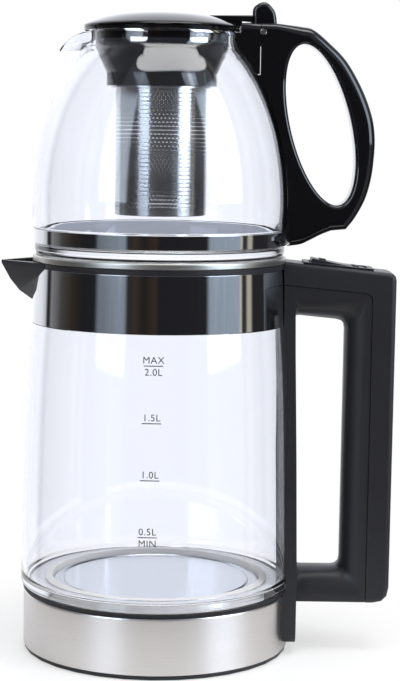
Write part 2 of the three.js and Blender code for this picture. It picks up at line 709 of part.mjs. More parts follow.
function makeLivePin() {
  const headFoot = CONNECTOR_ROOF_Z + CONNECTOR_ROOF + SEAT_GAP;
  return turned(
    [
      [0, LIVE_PIN_TIP_Z],
      [LIVE_PIN_RADIUS - LIVE_PIN_TIP_CHAMFER, LIVE_PIN_TIP_Z],
      [LIVE_PIN_RADIUS, LIVE_PIN_TIP_Z + LIVE_PIN_TIP_CHAMFER],
      [LIVE_PIN_RADIUS, headFoot],
      [LIVE_PIN_HEAD_RADIUS, headFoot],
      [LIVE_PIN_HEAD_RADIUS, headFoot + LIVE_PIN_HEAD],
      [0, headFoot + LIVE_PIN_HEAD],
    ],
    PIN_FACETS,
  );
}

function makeEarthRing() {
  return ring(
    EARTH_RING_RADIUS - EARTH_RING_WALL,
    EARTH_RING_RADIUS,
    EARTH_RING_FOOT_Z,
    CONNECTOR_ROOF_Z - SEAT_GAP,
    SMALL_FACETS,
  );
}

function makeControlUnit() {
  const foot = CONNECTOR_ROOF_Z + CONNECTOR_ROOF + SEAT_GAP + LIVE_PIN_HEAD + SEAT_GAP;
  const x = CONTROL_LENGTH / 2;
  const y = CONTROL_WIDTH / 2;
  const outline = outlineOf([
    [-x, -y, CONTROL_CORNER],
    [x, -y, CONTROL_CORNER],
    [x, y, CONTROL_CORNER],
    [-x, y, CONTROL_CORNER],
  ]);
  const bossTop = heaterFaceZ - HEATER_SHEET - SPREADER_HEIGHT - 2 * SEAT_GAP;
  const height = bossTop - 2 * ELEMENT_TUBE_RADIUS - SEAT_GAP - foot;
  const body = new THREE.ExtrudeGeometry(new THREE.Shape(outline), { depth: height, bevelEnabled: false });
  body.translate(0, 0, foot);
  return join(solidOf(body), disc(CONTROL_BOSS_RADIUS, foot + height / 2, bossTop, SMALL_FACETS));
}

// Heater

function makeHeaterPlate() {
  const face = heaterFaceZ;
  const edge = heaterRadius;
  const sheet = HEATER_SHEET;
  const grooveIn = heaterGrooveRadius - HEATER_GROOVE_WIDTH / 2;
  const grooveOut = heaterGrooveRadius + HEATER_GROOVE_WIDTH / 2;
  const dip = face - HEATER_GROOVE_DEPTH;
  const ramp = HEATER_GROOVE_DEPTH;
  return turned([
    [0, face - sheet],
    [grooveIn - sheet / 2, face - sheet],
    [grooveIn + ramp - sheet / 2, dip - sheet],
    [grooveOut - ramp + sheet / 2, dip - sheet],
    [grooveOut + sheet / 2, face - sheet],
    [edge - sheet, face - sheet],
    [edge - sheet, face - HEATER_SKIRT_HEIGHT],
    [edge, face - HEATER_SKIRT_HEIGHT],
    [edge, face - HEATER_EDGE],
    [edge - HEATER_EDGE, face],
    [grooveOut, face],
    [grooveOut - ramp, dip],
    [grooveIn + ramp, dip],
    [grooveIn, face],
    [0, face],
  ]);
}

function makeHeatSpreader() {
  const top = heaterFaceZ - HEATER_SHEET - SEAT_GAP;
  return disc(spreaderRadius, top - SPREADER_HEIGHT, top, SMALL_FACETS);
}

// The sheathed element: an open ring of tube under the spreader.
class RingArc extends THREE.Curve {
  constructor(radius, z, sweep) {
    super();
    Object.assign(this, { radius, z, sweep });
  }

  getPoint(t, target = new THREE.Vector3()) {
    const angle = this.sweep * (t - 0.5) + Math.PI;
    return target.set(this.radius * Math.cos(angle), this.radius * Math.sin(angle), this.z);
  }
}

function makeHeatingElement() {
  const top = heaterFaceZ - HEATER_SHEET - SPREADER_HEIGHT - 2 * SEAT_GAP;
  const path = new RingArc(elementRadius, top - ELEMENT_TUBE_RADIUS, radians(ELEMENT_SWEEP_DEG));
  const section = new THREE.Shape().absarc(0, 0, ELEMENT_TUBE_RADIUS, 0, 2 * Math.PI);
  const tube = new THREE.ExtrudeGeometry(new THREE.Shape(section.getPoints(SMALL_FACETS / 6)), {
    extrudePath: path,
    steps: ELEMENT_STEPS,
    bevelEnabled: false,
  });
  return solidOf(tube);
}

// Seals and glass

function makeBaseSeal() {
  const top = baseSealZ + BASE_SEAL_HEIGHT;
  const inner = glassHoleRadius + SEAT_GAP;
  return turned([
    [inner, baseSealZ],
    [BASE_RADIUS, baseSealZ],
    [BASE_RADIUS + BASE_SEAL_FLARE, top],
    [inner, top],
  ]);
}

function makePlateSeal() {
  const inner = heaterRadius + SEAT_GAP;
  const outer = inner + PLATE_SEAL_WALL;
  const lipZ = glassFloorZ + SEAT_GAP;
  return turned([
    [inner, baseSealZ],
    [outer, baseSealZ],
    [outer, lipZ],
    [outer + PLATE_SEAL_LIP, lipZ],
    [outer, lipZ + PLATE_SEAL_LIP_HEIGHT],
    [inner, lipZ + PLATE_SEAL_LIP_HEIGHT],
  ]);
}

function makeKettleGlass() {
  const heights = stations(GLASS_STATIONS, glassFloorZ, bandFootZ - SEAT_GAP);
  const outside = heights.map((z) => [kettleGlassRadius(z), z]);
  const inside = heights.slice(1).reverse();
  const neckFoot = bandFootRadius - BAND_SHEET - SEAT_GAP;
  const round = GLASS_FOOT_ROUND;
  return turned([
    [glassHoleRadius, glassFootZ],
    [glassFootRadius - round * 0.7, glassFootZ],
    ...outside,
    [neckFoot, bandFootZ],
    [collarRadius, glassTopZ],
    [collarRadius - GLASS_WALL, glassTopZ],
    ...inside.map((z) => [kettleGlassRadius(z) - GLASS_WALL, z]),
    [kettleGlassRadius(glassFloorZ) - GLASS_WALL, glassFloorZ + round],
    [kettleGlassRadius(glassFloorZ) - GLASS_WALL - round, glassFloorZ],
    [glassHoleRadius, glassFloorZ],
  ]);
}

function makeGlassGasket() {
  const foot = glassTopZ + SEAT_GAP;
  return ring(collarRadius - GLASS_WALL, collarRadius, foot, foot + GASKET_HEIGHT, SMALL_FACETS);
}

// Kettle rim and spout

// The spout's outer form grown by a gap, or with a negative gap its channel, open at the top.
function spoutForm(grow) {
  const hollow = grow < 0;
  const top = collarTopZ + (hollow ? OVERRUN : 0);
  const tipX = -(spoutTipX + grow * (hollow ? SPOUT_TIP_WALL_SHARE : 1));
  const tipWidth = Math.max(SPOUT_TIP_HALF_WIDTH + grow, SPOUT_TIP_HALF_WIDTH / 3);
  const rootX = bandFootRadius - SPOUT_ROOT_INSET - (hollow ? COLLAR_WALL : 0);
  const side = radians(SPOUT_ROOT_DEG);
  const rootWidth = rootX * Math.tan(side) + grow / Math.cos(side);
  const reach = spoutTipX - collarFlangeRadius;
  const keel = SPOUT_BELLY_SHARES.map(([out, down]) => [
    -(collarFlangeRadius + reach * out + grow / 2),
    collarTopZ - SPOUT_DEPTH * down - grow,
  ]);
  const points = [
    [-rootX, 0, collarTopZ - SPOUT_DEPTH - grow],
    [-collarFlangeRadius, 0, collarTopZ - SPOUT_DEPTH - grow],
  ];
  for (const s of [-1, 1]) {
    points.push([-rootX, s * rootWidth, top], [-rootX, s * rootWidth, flangeFootZ - SEAT_GAP]);
    points.push([tipX, s * tipWidth, top - SPOUT_TIP_DROP]);
    points.push([tipX, s * tipWidth, collarTopZ - SPOUT_TIP_DROP - SPOUT_TIP_THICKNESS - grow]);
    keel.forEach(([x, z], i) => points.push([x, s * tipWidth * (i + 2), z]));
  }
  return hull(points);
}

function makeRimCollar() {
  const wall = disc(collarRadius, collarFootZ, flangeFootZ);
  const flange = disc(collarFlangeRadius, flangeFootZ, collarTopZ);
  const channel = spoutForm(-SPOUT_WALL);
  const seat = disc(seatRingRadius + SEAT_GAP, flangeFootZ, collarTopZ + OVERRUN);
  const neck = disc(collarRadius + SEAT_GAP, collarFootZ - OVERRUN, collarFootZ);
  const body = join(wall, cut(spoutForm(0), neck));
  const open = cut(body, channel.subtract(seat), channel.intersect(disc(BASE_RADIUS, collarFootZ, flangeFootZ)));
  const bore = disc(collarBoreRadius, collarFootZ - OVERRUN, collarTopZ + OVERRUN);
  const screwZ = flangeFootZ - RIM_SCREW_DROP;
  const screwHole = bar(
    "x", HANDLE_SCREW_RADIUS + TURN_GAP, collarBoreRadius - OVERRUN, collarRadius + OVERRUN, [0, 0, screwZ],
  );
  return cut(join(open, flange), bore, screwHole);
}

function makeUpperBand() {
  const screwZ = flangeFootZ - RIM_SCREW_DROP;
  const band = turned([
    [bandFootRadius - BAND_SHEET, bandFootZ],
    [bandFootRadius, bandFootZ],
    [bandTopRadius, bandTopZ],
    [bandTopRadius - BAND_SHEET, bandTopZ],
  ]);
  const screwHole = bar(
    "x", HANDLE_SCREW_RADIUS + TURN_GAP, bandTopRadius - OVERRUN, bandFootRadius + OVERRUN, [0, 0, screwZ],
  );
  return cut(band, spoutForm(SEAT_GAP), screwHole);
}

function makeSeatRing() {
  const outer = seatRingRadius;
  const bore = seatBoreRadius;
  const sheet = SEAT_RING_SHEET;
  const round = SEAT_RING_ROUND;
  return turned([
    [bore, seatRingZ - SEAT_RING_NECK],
    [bore + sheet, seatRingZ - SEAT_RING_NECK],
    [bore + sheet, seatTopZ - sheet],
    [outer - sheet, seatTopZ - sheet],
    [outer - sheet, seatRingZ],
    [outer, seatRingZ],
    [outer, seatTopZ - round],
    [outer - round, seatTopZ],
    [bore + round, seatTopZ],
    [bore, seatTopZ - round],
  ]);
}

// Kettle handle

const topSlope = Math.tan(radians(HANDLE_TOP_SLOPE_DEG));
const handleTopZ = (x) => collarTopZ + HANDLE_TOP_RISE - (x - collarFlangeRadius) * topSlope;

function handleOutline() {
  return outlineOf([
    [handleRootX, HANDLE_FOOT_Z],
    [handleEndX, HANDLE_FOOT_Z, HANDLE_FOOT_CORNER],
    [handleEndX, handleTopZ(handleEndX), HANDLE_TOP_CORNER],
    [handleRootX, handleTopZ(handleRootX)],
  ]);
}

function gapOutline(grow) {
  const top = collarTopZ - HANDLE_GAP_TOP_DROP + grow;
  const foot = HANDLE_GAP_FOOT_Z - grow;
  return outlineOf([
    [gapFootX, foot, HANDLE_GAP_CORNER / 2],
    [gapOuterX + grow, foot, HANDLE_GAP_CORNER],
    [gapOuterX + grow, top - (gapOuterX - gapTopX) * topSlope, HANDLE_GAP_CORNER],
    [gapTopX, top, HANDLE_GAP_CORNER / 2],
  ]);
}

// The finger gap, narrow in the middle of the handle and wide at its two faces.
function fingerGap() {
  const levels = HANDLE_FLARE_SHARES.map(([out, wide]) => ({
    y: HANDLE_HALF_WIDTH * out,
    outline: gapOutline(HANDLE_FLARE * wide),
  }));
  const layer = (near, far, side) =>
    hull([
      ...near.outline.map((p) => [p.x, side * near.y, p.y]),
      ...far.outline.map((p) => [p.x, side * far.y, p.y]),
    ]);
  const outside = { y: HANDLE_HALF_WIDTH + OVERRUN, outline: levels.at(-1).outline };
  const middle = slab(levels[0].outline, levels[0].y + SEAT_GAP);
  const sides = [-1, 1].flatMap((side) => [
    layer(levels[0], levels[1], side),
    layer(levels[1], levels[2], side),
    layer(levels[2], outside, side),
  ]);
  return join(middle, ...sides);
}

// The inner frame's side of the seam.
function seamRegion(shrink) {
  const top = (x) => handleTopZ(x) - HANDLE_SEAM_DROP - shrink;
  const edge = handleSeamX - shrink;
  return slab(
    outlineOf([
      [handleRootX - OVERRUN, -OVERRUN],
      [edge, -OVERRUN],
      [edge, top(edge), HANDLE_SEAM_CORNER],
      [handleRootX - OVERRUN, top(handleRootX - OVERRUN)],
    ]),
    HANDLE_HALF_WIDTH + OVERRUN,
  );
}

function ribAndLeg() {
  const top = handleTopZ(gapTopX) - HANDLE_SEAM_DROP - HANDLE_SEAM_GAP;
  const wide = RIB_HALF_WIDTH_FOOT;
  const sheet = slabAlongX(
    outlineOf([
      [-wide, LEG_FOOT_Z, LEG_CORNER],
      [wide, LEG_FOOT_Z, LEG_CORNER],
      [wide, RIB_WIDE_Z],
      [RIB_HALF_WIDTH_TOP, top - HANDLE_GAP_TOP_DROP + HANDLE_SEAM_DROP],
      [RIB_HALF_WIDTH_TOP, top],
      [-RIB_HALF_WIDTH_TOP, top],
      [-RIB_HALF_WIDTH_TOP, top - HANDLE_GAP_TOP_DROP + HANDLE_SEAM_DROP],
      [-wide, RIB_WIDE_Z],
    ]),
    handleRootX,
    handleEndX,
  );
  const rise = (gapTopX - gapFootX) / (collarTopZ - HANDLE_GAP_TOP_DROP - HANDLE_GAP_FOOT_Z);
  const faceX = (z) => gapFootX + (Math.min(z, collarTopZ) - HANDLE_GAP_FOOT_Z) * rise;
  const face = slab(
    outlineOf([
      [handleRootX, LEG_FOOT_Z],
      [gapFootX, LEG_FOOT_Z],
      [gapFootX, HANDLE_GAP_FOOT_Z],
      [faceX(collarTopZ), collarTopZ],
      [handleRootX, collarTopZ],
    ]),
    RIB_HALF_WIDTH_FOOT + OVERRUN,
  );
  return sheet.intersect(face);
}

function makeHandleFrame() {
  const bars = slab(handleOutline(), HANDLE_HALF_WIDTH - HANDLE_INSET, HANDLE_EDGE);
  const inner = bars.intersect(seamRegion(HANDLE_SEAM_GAP / 2));
  const legHole = bar(
    "x", HANDLE_SCREW_RADIUS + TURN_GAP, BASE_RADIUS - OVERRUN, legScrewTipX + TURN_GAP, [0, 0, LEG_SCREW_Z],
  );
  return cut(join(cut(inner, fingerGap()), ribAndLeg()), kettleEnvelope(SEAT_GAP), legHole);
}

function makeHandleCover() {
  const whole = slab(handleOutline(), HANDLE_HALF_WIDTH, HANDLE_EDGE);
  const screwZ = flangeFootZ - RIM_SCREW_DROP;
  const screwHole = bar(
    "x", HANDLE_SCREW_RADIUS + TURN_GAP, bandTopRadius - OVERRUN, rimScrewTipX + TURN_GAP, [0, 0, screwZ],
  );
  return cut(whole, seamRegion(-HANDLE_SEAM_GAP / 2), kettleEnvelope(SEAT_GAP), screwHole, switchPocket());
}

function makeHandleScrew(headX, tipX, z) {
  const headEnd = headX + HANDLE_SCREW_HEAD;
  return join(
    bar("x", HANDLE_SCREW_HEAD_RADIUS, headX, headEnd, [0, 0, z], SCREW_FACETS),
    bar("x", HANDLE_SCREW_RADIUS, headX + HANDLE_SCREW_HEAD / 2, tipX, [0, 0, z], SCREW_FACETS),
  );
}

// Switch

const switchZ = handleTopZ(switchX);
const bezelLength = SWITCH_LENGTH + 2 * BEZEL_MARGIN;
const bezelHalfWidth = SWITCH_HALF_WIDTH + BEZEL_MARGIN;

// A box in the handle top's own directions: lengthways and upwards from the switch's middle.
function switchBlock(halfLength, halfWidth, low, high) {
  const box = block(
    [switchX - halfLength, -halfWidth, switchZ + low],
    [switchX + halfLength, halfWidth, switchZ + high],
  );
  return tipped(box, HANDLE_TOP_SLOPE_DEG, switchX, switchZ);
}

function switchPocket() {
  const half = bezelLength / 2 + BEZEL_WALL + SEAT_GAP;
  const floor = -(BEZEL_DEPTH + SEAT_GAP);
  const pocket = switchBlock(half, bezelHalfWidth + BEZEL_WALL + SEAT_GAP, floor, OVERRUN);
  return join(pocket, sensorBlock(SEAT_GAP));
}

function makeSwitchBezel() {
  const half = bezelLength / 2;
  const outer = switchBlock(half + BEZEL_WALL, bezelHalfWidth + BEZEL_WALL, -BEZEL_DEPTH, 0);
  const lip = switchBlock(
    half + BEZEL_WALL + BEZEL_LIP, bezelHalfWidth + BEZEL_WALL + BEZEL_LIP, SEAT_GAP, BEZEL_LIP_HEIGHT + SEAT_GAP,
  );
  const neck = switchBlock(half + BEZEL_WALL, bezelHalfWidth + BEZEL_WALL, -BEZEL_LIP_HEIGHT, BEZEL_LIP_HEIGHT);
  const opening = switchBlock(half, bezelHalfWidth, -BEZEL_DEPTH - OVERRUN, OVERRUN);
  const pivots = bar(
    "y", SWITCH_PIVOT_RADIUS + TURN_GAP, -HANDLE_HALF_WIDTH, HANDLE_HALF_WIDTH, [switchX, 0, pivotZ],
  );
  return cut(join(outer, lip, neck), opening, pivots);
}

const pivotZ = switchZ - SWITCH_PIVOT_DROP;

function makeSwitchRocker() {
  const half = SWITCH_LENGTH / 2;
  const top = SWITCH_RISE;
  const foot = top - SWITCH_THICKNESS;
  const outline = outlineOf([
    [switchX - half, switchZ + foot, 1],
    [switchX - half / 3, switchZ + foot - SWITCH_KEEL],
    [switchX + half / 3, switchZ + foot - SWITCH_KEEL],
    [switchX + half, switchZ + foot, 1],
    [switchX + half, switchZ + top, 1],
    [switchX, switchZ + top - SEAT_GAP],
    [switchX - half, switchZ + top, 1],
  ]);
  const body = slab(outline, SWITCH_HALF_WIDTH);
  const dimples = [-1, 1].map((side) => {
    const x = switchX + side * SWITCH_DIMPLE_OFFSET;
    return block(
      [x - SWITCH_DIMPLE_LENGTH / 2, -SWITCH_DIMPLE_HALF_WIDTH, switchZ + top - SWITCH_DIMPLE_HEIGHT],
      [x + SWITCH_DIMPLE_LENGTH / 2, SWITCH_DIMPLE_HALF_WIDTH, switchZ + top + SWITCH_DIMPLE_HEIGHT],
    );
  });
  const pivots = bar("y", SWITCH_PIVOT_RADIUS, -SWITCH_PIVOT_REACH, SWITCH_PIVOT_REACH, [switchX, 0, pivotZ]);
  const level = join(body, ...dimples);
  return join(tipped(level, HANDLE_TOP_SLOPE_DEG + SWITCH_TILT_DEG, switchX, pivotZ), pivots);
}

// The micro switch under the rocker, grown by a gap for its well in the handle.
function sensorBlock(gap) {
  const top = SWITCH_RISE - SWITCH_THICKNESS - SWITCH_KEEL - SENSOR_DROP;
  const middle = switchX + SENSOR_OFFSET;
  const half = SENSOR_LENGTH / 2 + gap;
  const body = block(
    [middle - half, -SENSOR_WIDTH / 2 - gap, switchZ + top - SENSOR_HEIGHT - gap],
    [middle + half, SENSOR_WIDTH / 2 + gap, switchZ + top],
  );
  return tipped(body, HANDLE_TOP_SLOPE_DEG, switchX, switchZ);
}

// Teapot

function makePotGlass() {
  const neckTop = potRimZ;
  const footRound = POT_FOOT_ROUND;
  const grooveTop = potBandZ + POT_BAND_HEIGHT + SEAT_GAP;
  const grooveFoot = potBandZ - SEAT_GAP;
  const groove = potBandRadius - POT_BAND_SHEET - SEAT_GAP;
  const floor = potFootZ + POT_FLOOR;
  const inner = potDome(-POT_WALL).reverse();
  const shell = turned([
    [0, potFootZ + POT_PUNT_HEIGHT],
    [potPuntRadius, potFootZ + POT_PUNT_HEIGHT],
    [potPuntRadius + POT_PUNT_HEIGHT, potFootZ],
    [potFootRadius - footRound, potFootZ],
    [potFootRadius, potFootZ + footRound * POT_FOOT_ROUND_SHARE],
    [potFootRadius, grooveFoot],
    [groove, grooveFoot],
    [groove, grooveTop],
    [potBandRadius, grooveTop],
    ...potDome(0),
    [POT_NECK_RADIUS, neckTop - POT_WALL / 3],
    [POT_NECK_RADIUS - POT_WALL / 2, neckTop],
    [POT_NECK_RADIUS - POT_WALL, neckTop - POT_WALL / 3],
    ...inner,
    [potBandRadius - POT_WALL, floor + POT_FLOOR_ROUND],
    [potBandRadius - POT_WALL - POT_FLOOR_ROUND, floor],
    [0, floor],
  ]);
  const inside = turned([
    [0, floor],
    [potBandRadius - POT_WALL, floor + POT_FLOOR_ROUND],
    ...potDome(-POT_WALL),
    [POT_NECK_RADIUS - POT_WALL, neckTop + OVERRUN],
    [0, neckTop + OVERRUN],
  ]);
  const underLid = disc(lidRadius + SEAT_GAP, lidFootZ - SEAT_GAP, potRimZ + OVERRUN);
  return cut(join(shell, cut(lipForm(0), inside, underLid)), lipForm(LIP_WALL));
}

// The pouring lip's outer form, or its channel where a wall is given.
function lipForm(wall) {
  const hollow = wall > 0;
  const rootX = POT_NECK_RADIUS - (hollow ? POT_WALL + LIP_WALL : POT_WALL / 2);
  const reach = lipTipX - POT_NECK_RADIUS;
  const lift = hollow ? OVERRUN : 0;
  const tipX = -(lipTipX + (hollow ? LIP_WALL : 0));
  const tipZ = potRimZ - LIP_DROP;
  const points = [];
  for (const s of [-1, 1]) {
    const tip = s * (LIP_TIP_HALF_WIDTH - wall);
    const root = s * (LIP_ROOT_HALF_WIDTH - wall);
    points.push([tipX, tip, tipZ + lift], [tipX, tip, tipZ - LIP_TIP_THICKNESS + wall]);
    points.push([-rootX, root, potRimZ + lift]);
    points.push([-rootX, root * LIP_KEEL_SHARE, potRimZ - LIP_ROOT_DEPTH + wall * LIP_FLOOR_SHARE]);
    LIP_CREST_SHARES.forEach(([out, down]) => {
      const y = root + (tip - root) * out;
      points.push([-(POT_NECK_RADIUS + reach * out), y, potRimZ - LIP_DROP * down + lift]);
    });
  }
  return hull(points);
}

function makePotBand() {
  return ring(
    potBandRadius - POT_BAND_SHEET,
    potBandRadius,
    potBandZ,
    potBandZ + POT_BAND_HEIGHT,
  );
}

function makeNeckClip() {
  const inner = POT_NECK_RADIUS + SEAT_GAP;
  const foot = potRimZ - NECK_CLIP_DROP;
  const hoop = ring(inner, inner + NECK_CLIP_SHEET, foot, foot + NECK_CLIP_HEIGHT);
  const reach = potBellyRadius;
  const end = -POT_NECK_RADIUS * NECK_CLIP_END_SHARE;
  const gap = block([-reach, -reach, foot - OVERRUN], [end, reach, potRimZ + OVERRUN]);
  return cut(hoop, gap);
}

// Teapot handle

// A point of the handle's form, from how far out it lies and its share of the pot's height.
function besidePot([out, share]) {
  const line = potBellyRadius + share * (POT_NECK_RADIUS - potBellyRadius);
  return [line + out, potFootZ + share * potHeight];
}

function potHandleBody() {
  const top = potRimZ + HINGE_BLOCK_TOP_RISE;
  const outline = [
    [POT_NECK_RADIUS - POT_WALL, top - LID_OVERLAP],
    [slotRampX, top],
    ...POT_HANDLE_BACK.map(besidePot),
    ...POT_HANDLE_FOOT.map(besidePot),
    [potBellyRadius - SADDLE_HEIGHT, potBandZ],
    [POT_NECK_RADIUS - POT_WALL, potNeckZ - POT_WALL],
  ].map(([x, z]) => new THREE.Vector2(x, z));
  const body = slab(outline, POT_HANDLE_HALF_WIDTH, POT_HANDLE_EDGE);
  return cut(join(body, saddle()), potEnvelope(SEAT_GAP), fingerHole(), leverSlot(), hingeBore(POT_HANDLE_HALF_WIDTH));
}

function fingerHole() {
  const [centreOut, centreShare] = HOLE_CENTRE;
  const level = (grow, y) =>
    Array.from({ length: HOLE_FACETS }, (_, i) => {
      const angle = (2 * Math.PI * i) / HOLE_FACETS;
      const across = (HOLE_HALF_WIDTH + grow) * Math.cos(angle);
      const up = (HOLE_HALF_SHARE + grow / potHeight) * Math.sin(angle);
      const [x, z] = besidePot([centreOut + across + HOLE_LEAN * up, centreShare + up]);
      return [x, y, z];
    });
  const edge = POT_HANDLE_HALF_WIDTH - POT_HANDLE_EDGE;
  const far = POT_HANDLE_HALF_WIDTH + OVERRUN;
  const through = hull([...level(0, -far), ...level(0, far)]);
  const slope = (far - edge) / POT_HANDLE_EDGE;
  const rims = [-1, 1].map((s) => hull([...level(0, s * edge), ...level(slope, s * far)]));
  return join(through, ...rims);
}

function leverSlot() {
  const deep = hingeZ - SLOT_FLOOR_DROP;
  const outline = [
    [slotFrontX, deep],
    [slotRampX, deep],
    [slotEndX, hingeZ - SLOT_END_DROP],
    [slotEndX, hingeZ + OVERRUN],
    [slotFrontX, hingeZ + OVERRUN],
  ].map(([x, z]) => new THREE.Vector2(x, z));
  return slab(outline, LEVER_HALF_WIDTH + SLIDE_GAP);
}

function hingeBore(reach) {
  return bar("y", HINGE_PIN_RADIUS + TURN_GAP, -reach - OVERRUN, reach + OVERRUN, [hingeX, 0, hingeZ]);
}

// The handle's foot spreads into a curved pad on the band.
function saddle() {
  const foot = potBandZ + SEAT_GAP;
  const wide = SADDLE_HALF_WIDTH;
  const pad = slabAlongX(
    outlineOf([
      [-wide * SADDLE_FOOT_SHARE, foot, SADDLE_CORNER / 2],
      [wide * SADDLE_FOOT_SHARE, foot, SADDLE_CORNER / 2],
      [wide, foot + SADDLE_HEIGHT * SADDLE_SHOULDER_SHARE, SADDLE_CORNER / 2],
      [POT_HANDLE_HALF_WIDTH, foot + SADDLE_HEIGHT],
      [-POT_HANDLE_HALF_WIDTH, foot + SADDLE_HEIGHT],
      [-wide, foot + SADDLE_HEIGHT * SADDLE_SHOULDER_SHARE, SADDLE_CORNER / 2],
    ]),
    0,
    potBellyRadius + OVERRUN,
  );
  const outer = potBellyRadius + SADDLE_WALL;
  const shell = turned([
    [POT_NECK_RADIUS, foot - SEAT_GAP],
    [outer - SADDLE_WALL / 2, foot - SEAT_GAP],
    [outer, foot + SADDLE_WALL / 2],
    [outer, foot + SADDLE_HEIGHT - SADDLE_WALL],
    [outer - SADDLE_WALL / 2, foot + SADDLE_HEIGHT + SEAT_GAP],
    [POT_NECK_RADIUS, foot + SADDLE_HEIGHT + SEAT_GAP],
  ]);
  return pad.intersect(shell);
}

function handleSide(low, high) {
  const reach = SADDLE_HALF_WIDTH + OVERRUN;
  return block([low, -reach, potFootZ - OVERRUN], [high, reach, potRimZ + 2 * OVERRUN]);
}

function makeHingeBlock() {
  const edge = potHandleSeamX - POT_HANDLE_SEAM_GAP / 2;
  const upper = block(
    [0, -potBellyRadius, potNeckZ - 2 * POT_NECK_HEIGHT],
    [edge, potBellyRadius, potRimZ + 2 * OVERRUN],
  );
  return potHandleBody().intersect(upper);
}

function makePotHandle() {
  const body = potHandleBody();
  const upper = block(
    [0, -potBellyRadius, potNeckZ - 2 * POT_NECK_HEIGHT - POT_HANDLE_SEAM_GAP],
    [potHandleSeamX + POT_HANDLE_SEAM_GAP / 2, potBellyRadius, potRimZ + 2 * OVERRUN],
  );
  return cut(body, upper);
}

function makeHingePin() {
  const reach = POT_HANDLE_HALF_WIDTH - SEAT_GAP;
  return bar("y", HINGE_PIN_RADIUS, -reach, reach, [hingeX, 0, hingeZ]);
}

// Lid

const lidDomeZ = (r) => lidRimZ + LID_DOME_HEIGHT * (1 - (r / lidRadius) ** LID_DOME_POWER);

function makeLidShell() {
  const outside = stations(LID_DOME_STATIONS, lidRadius, 0).map((r) => [r, lidDomeZ(r)]);
  const cavity = stations(LID_DOME_STATIONS - 2, 0, lidCavityRadius).map((r) => [r, lidDomeZ(r) - LID_SHEET]);
  const shell = turned([
    ...outside,
    ...cavity,
    [lidCavityRadius, lidCeilingZ],
    [lidRadius, lidCeilingZ],
  ]);
  const armTop = potRimZ + LID_ARM_TOP_RISE;
  const armFoot = potRimZ + LID_ARM_FOOT_RISE;
  const armEnd = leverFaceX - SEAT_GAP;
  const start = lidArmStartX;
  const points = [-1, 1].flatMap((s) => [
    [start, s * LID_ARM_HALF_WIDTH, lidDomeZ(start) - LID_SHEET / 2],
    [start, s * LID_ARM_HALF_WIDTH, lidDomeZ(start) - LID_SHEET],
    [armEnd, s * LID_ARM_HALF_WIDTH, armFoot],
    [armEnd, s * LID_ARM_HALF_WIDTH, armTop - LID_SHEET / 2],
    [armEnd, s * (LID_ARM_HALF_WIDTH - LID_SHEET / 2), armTop],
    [start, s * (LID_ARM_HALF_WIDTH - LID_SHEET / 2), lidDomeZ(start) + SEAT_GAP / 2],
  ]);
  return join(shell, hull(points), lidWeb(armFoot));
}

// Fills the wedge between the arm and the dome, up to the hinge block's front.
function lidWeb(armFoot) {
  const start = lidArmStartX;
  const end = lidRadius - LID_WEB_INSET;
  const depth = LID_SHEET / 2;
  const points = [-1, 1].flatMap((s) => [
    [start, s * LID_WEB_HALF_WIDTH, lidDomeZ(start) - LID_SHEET],
    [start, s * LID_WEB_HALF_WIDTH, lidDomeZ(start) - depth],
    [end, s * LID_WEB_HALF_WIDTH, lidRimZ],
    [end, s * LID_WEB_HALF_WIDTH, armFoot + depth],
  ]);
  return hull(points);
}

// The trim ring under the lid's edge, which reaches down over the pot's rim.
function makeLidRim() {
  return ring(lidRadius - LID_RIM_WALL, lidRadius, lidFootZ, lidCeilingZ - SEAT_GAP);
}

function makeLidLiner() {
  const foot = infuserTopZ - INFUSER_FLANGE - SEAT_GAP / 2;
  const outer = Math.min(lidCavityRadius, infuserCollarRadius - INFUSER_WALL) - SEAT_GAP;
  const top = foot + LINER_HEIGHT;
  return turned([
    [0, foot],
    [outer, foot],
    [outer, top + LINER_UPSTAND],
    [outer - LINER_WALL, top + LINER_UPSTAND],
    [outer - LINER_WALL, top],
    [0, top],
  ], INFUSER_FACETS);
}

function makeLidLever() {
  const knuckle = bar(
    "y", LEVER_KNUCKLE_RADIUS, -LEVER_HALF_WIDTH, LEVER_HALF_WIDTH, [hingeX, 0, hingeZ], SMALL_FACETS,
  );
  const fin = LEVER_FIN_SHARES.map(
    ([x, z]) => new THREE.Vector2(hingeX + LEVER_FIN_HEIGHT * x, hingeZ + LEVER_FIN_HEIGHT * z),
  );
  const outline = [
    new THREE.Vector2(hingeX + LEVER_KNUCKLE_RADIUS * LEVER_KNUCKLE_SHARE, hingeZ),
    new THREE.Vector2(leverFaceX, hingeZ),
    ...fin,
  ];
  return cut(join(knuckle, slab(outline, LEVER_HALF_WIDTH)), hingeBore(LEVER_HALF_WIDTH));
}

// Infuser

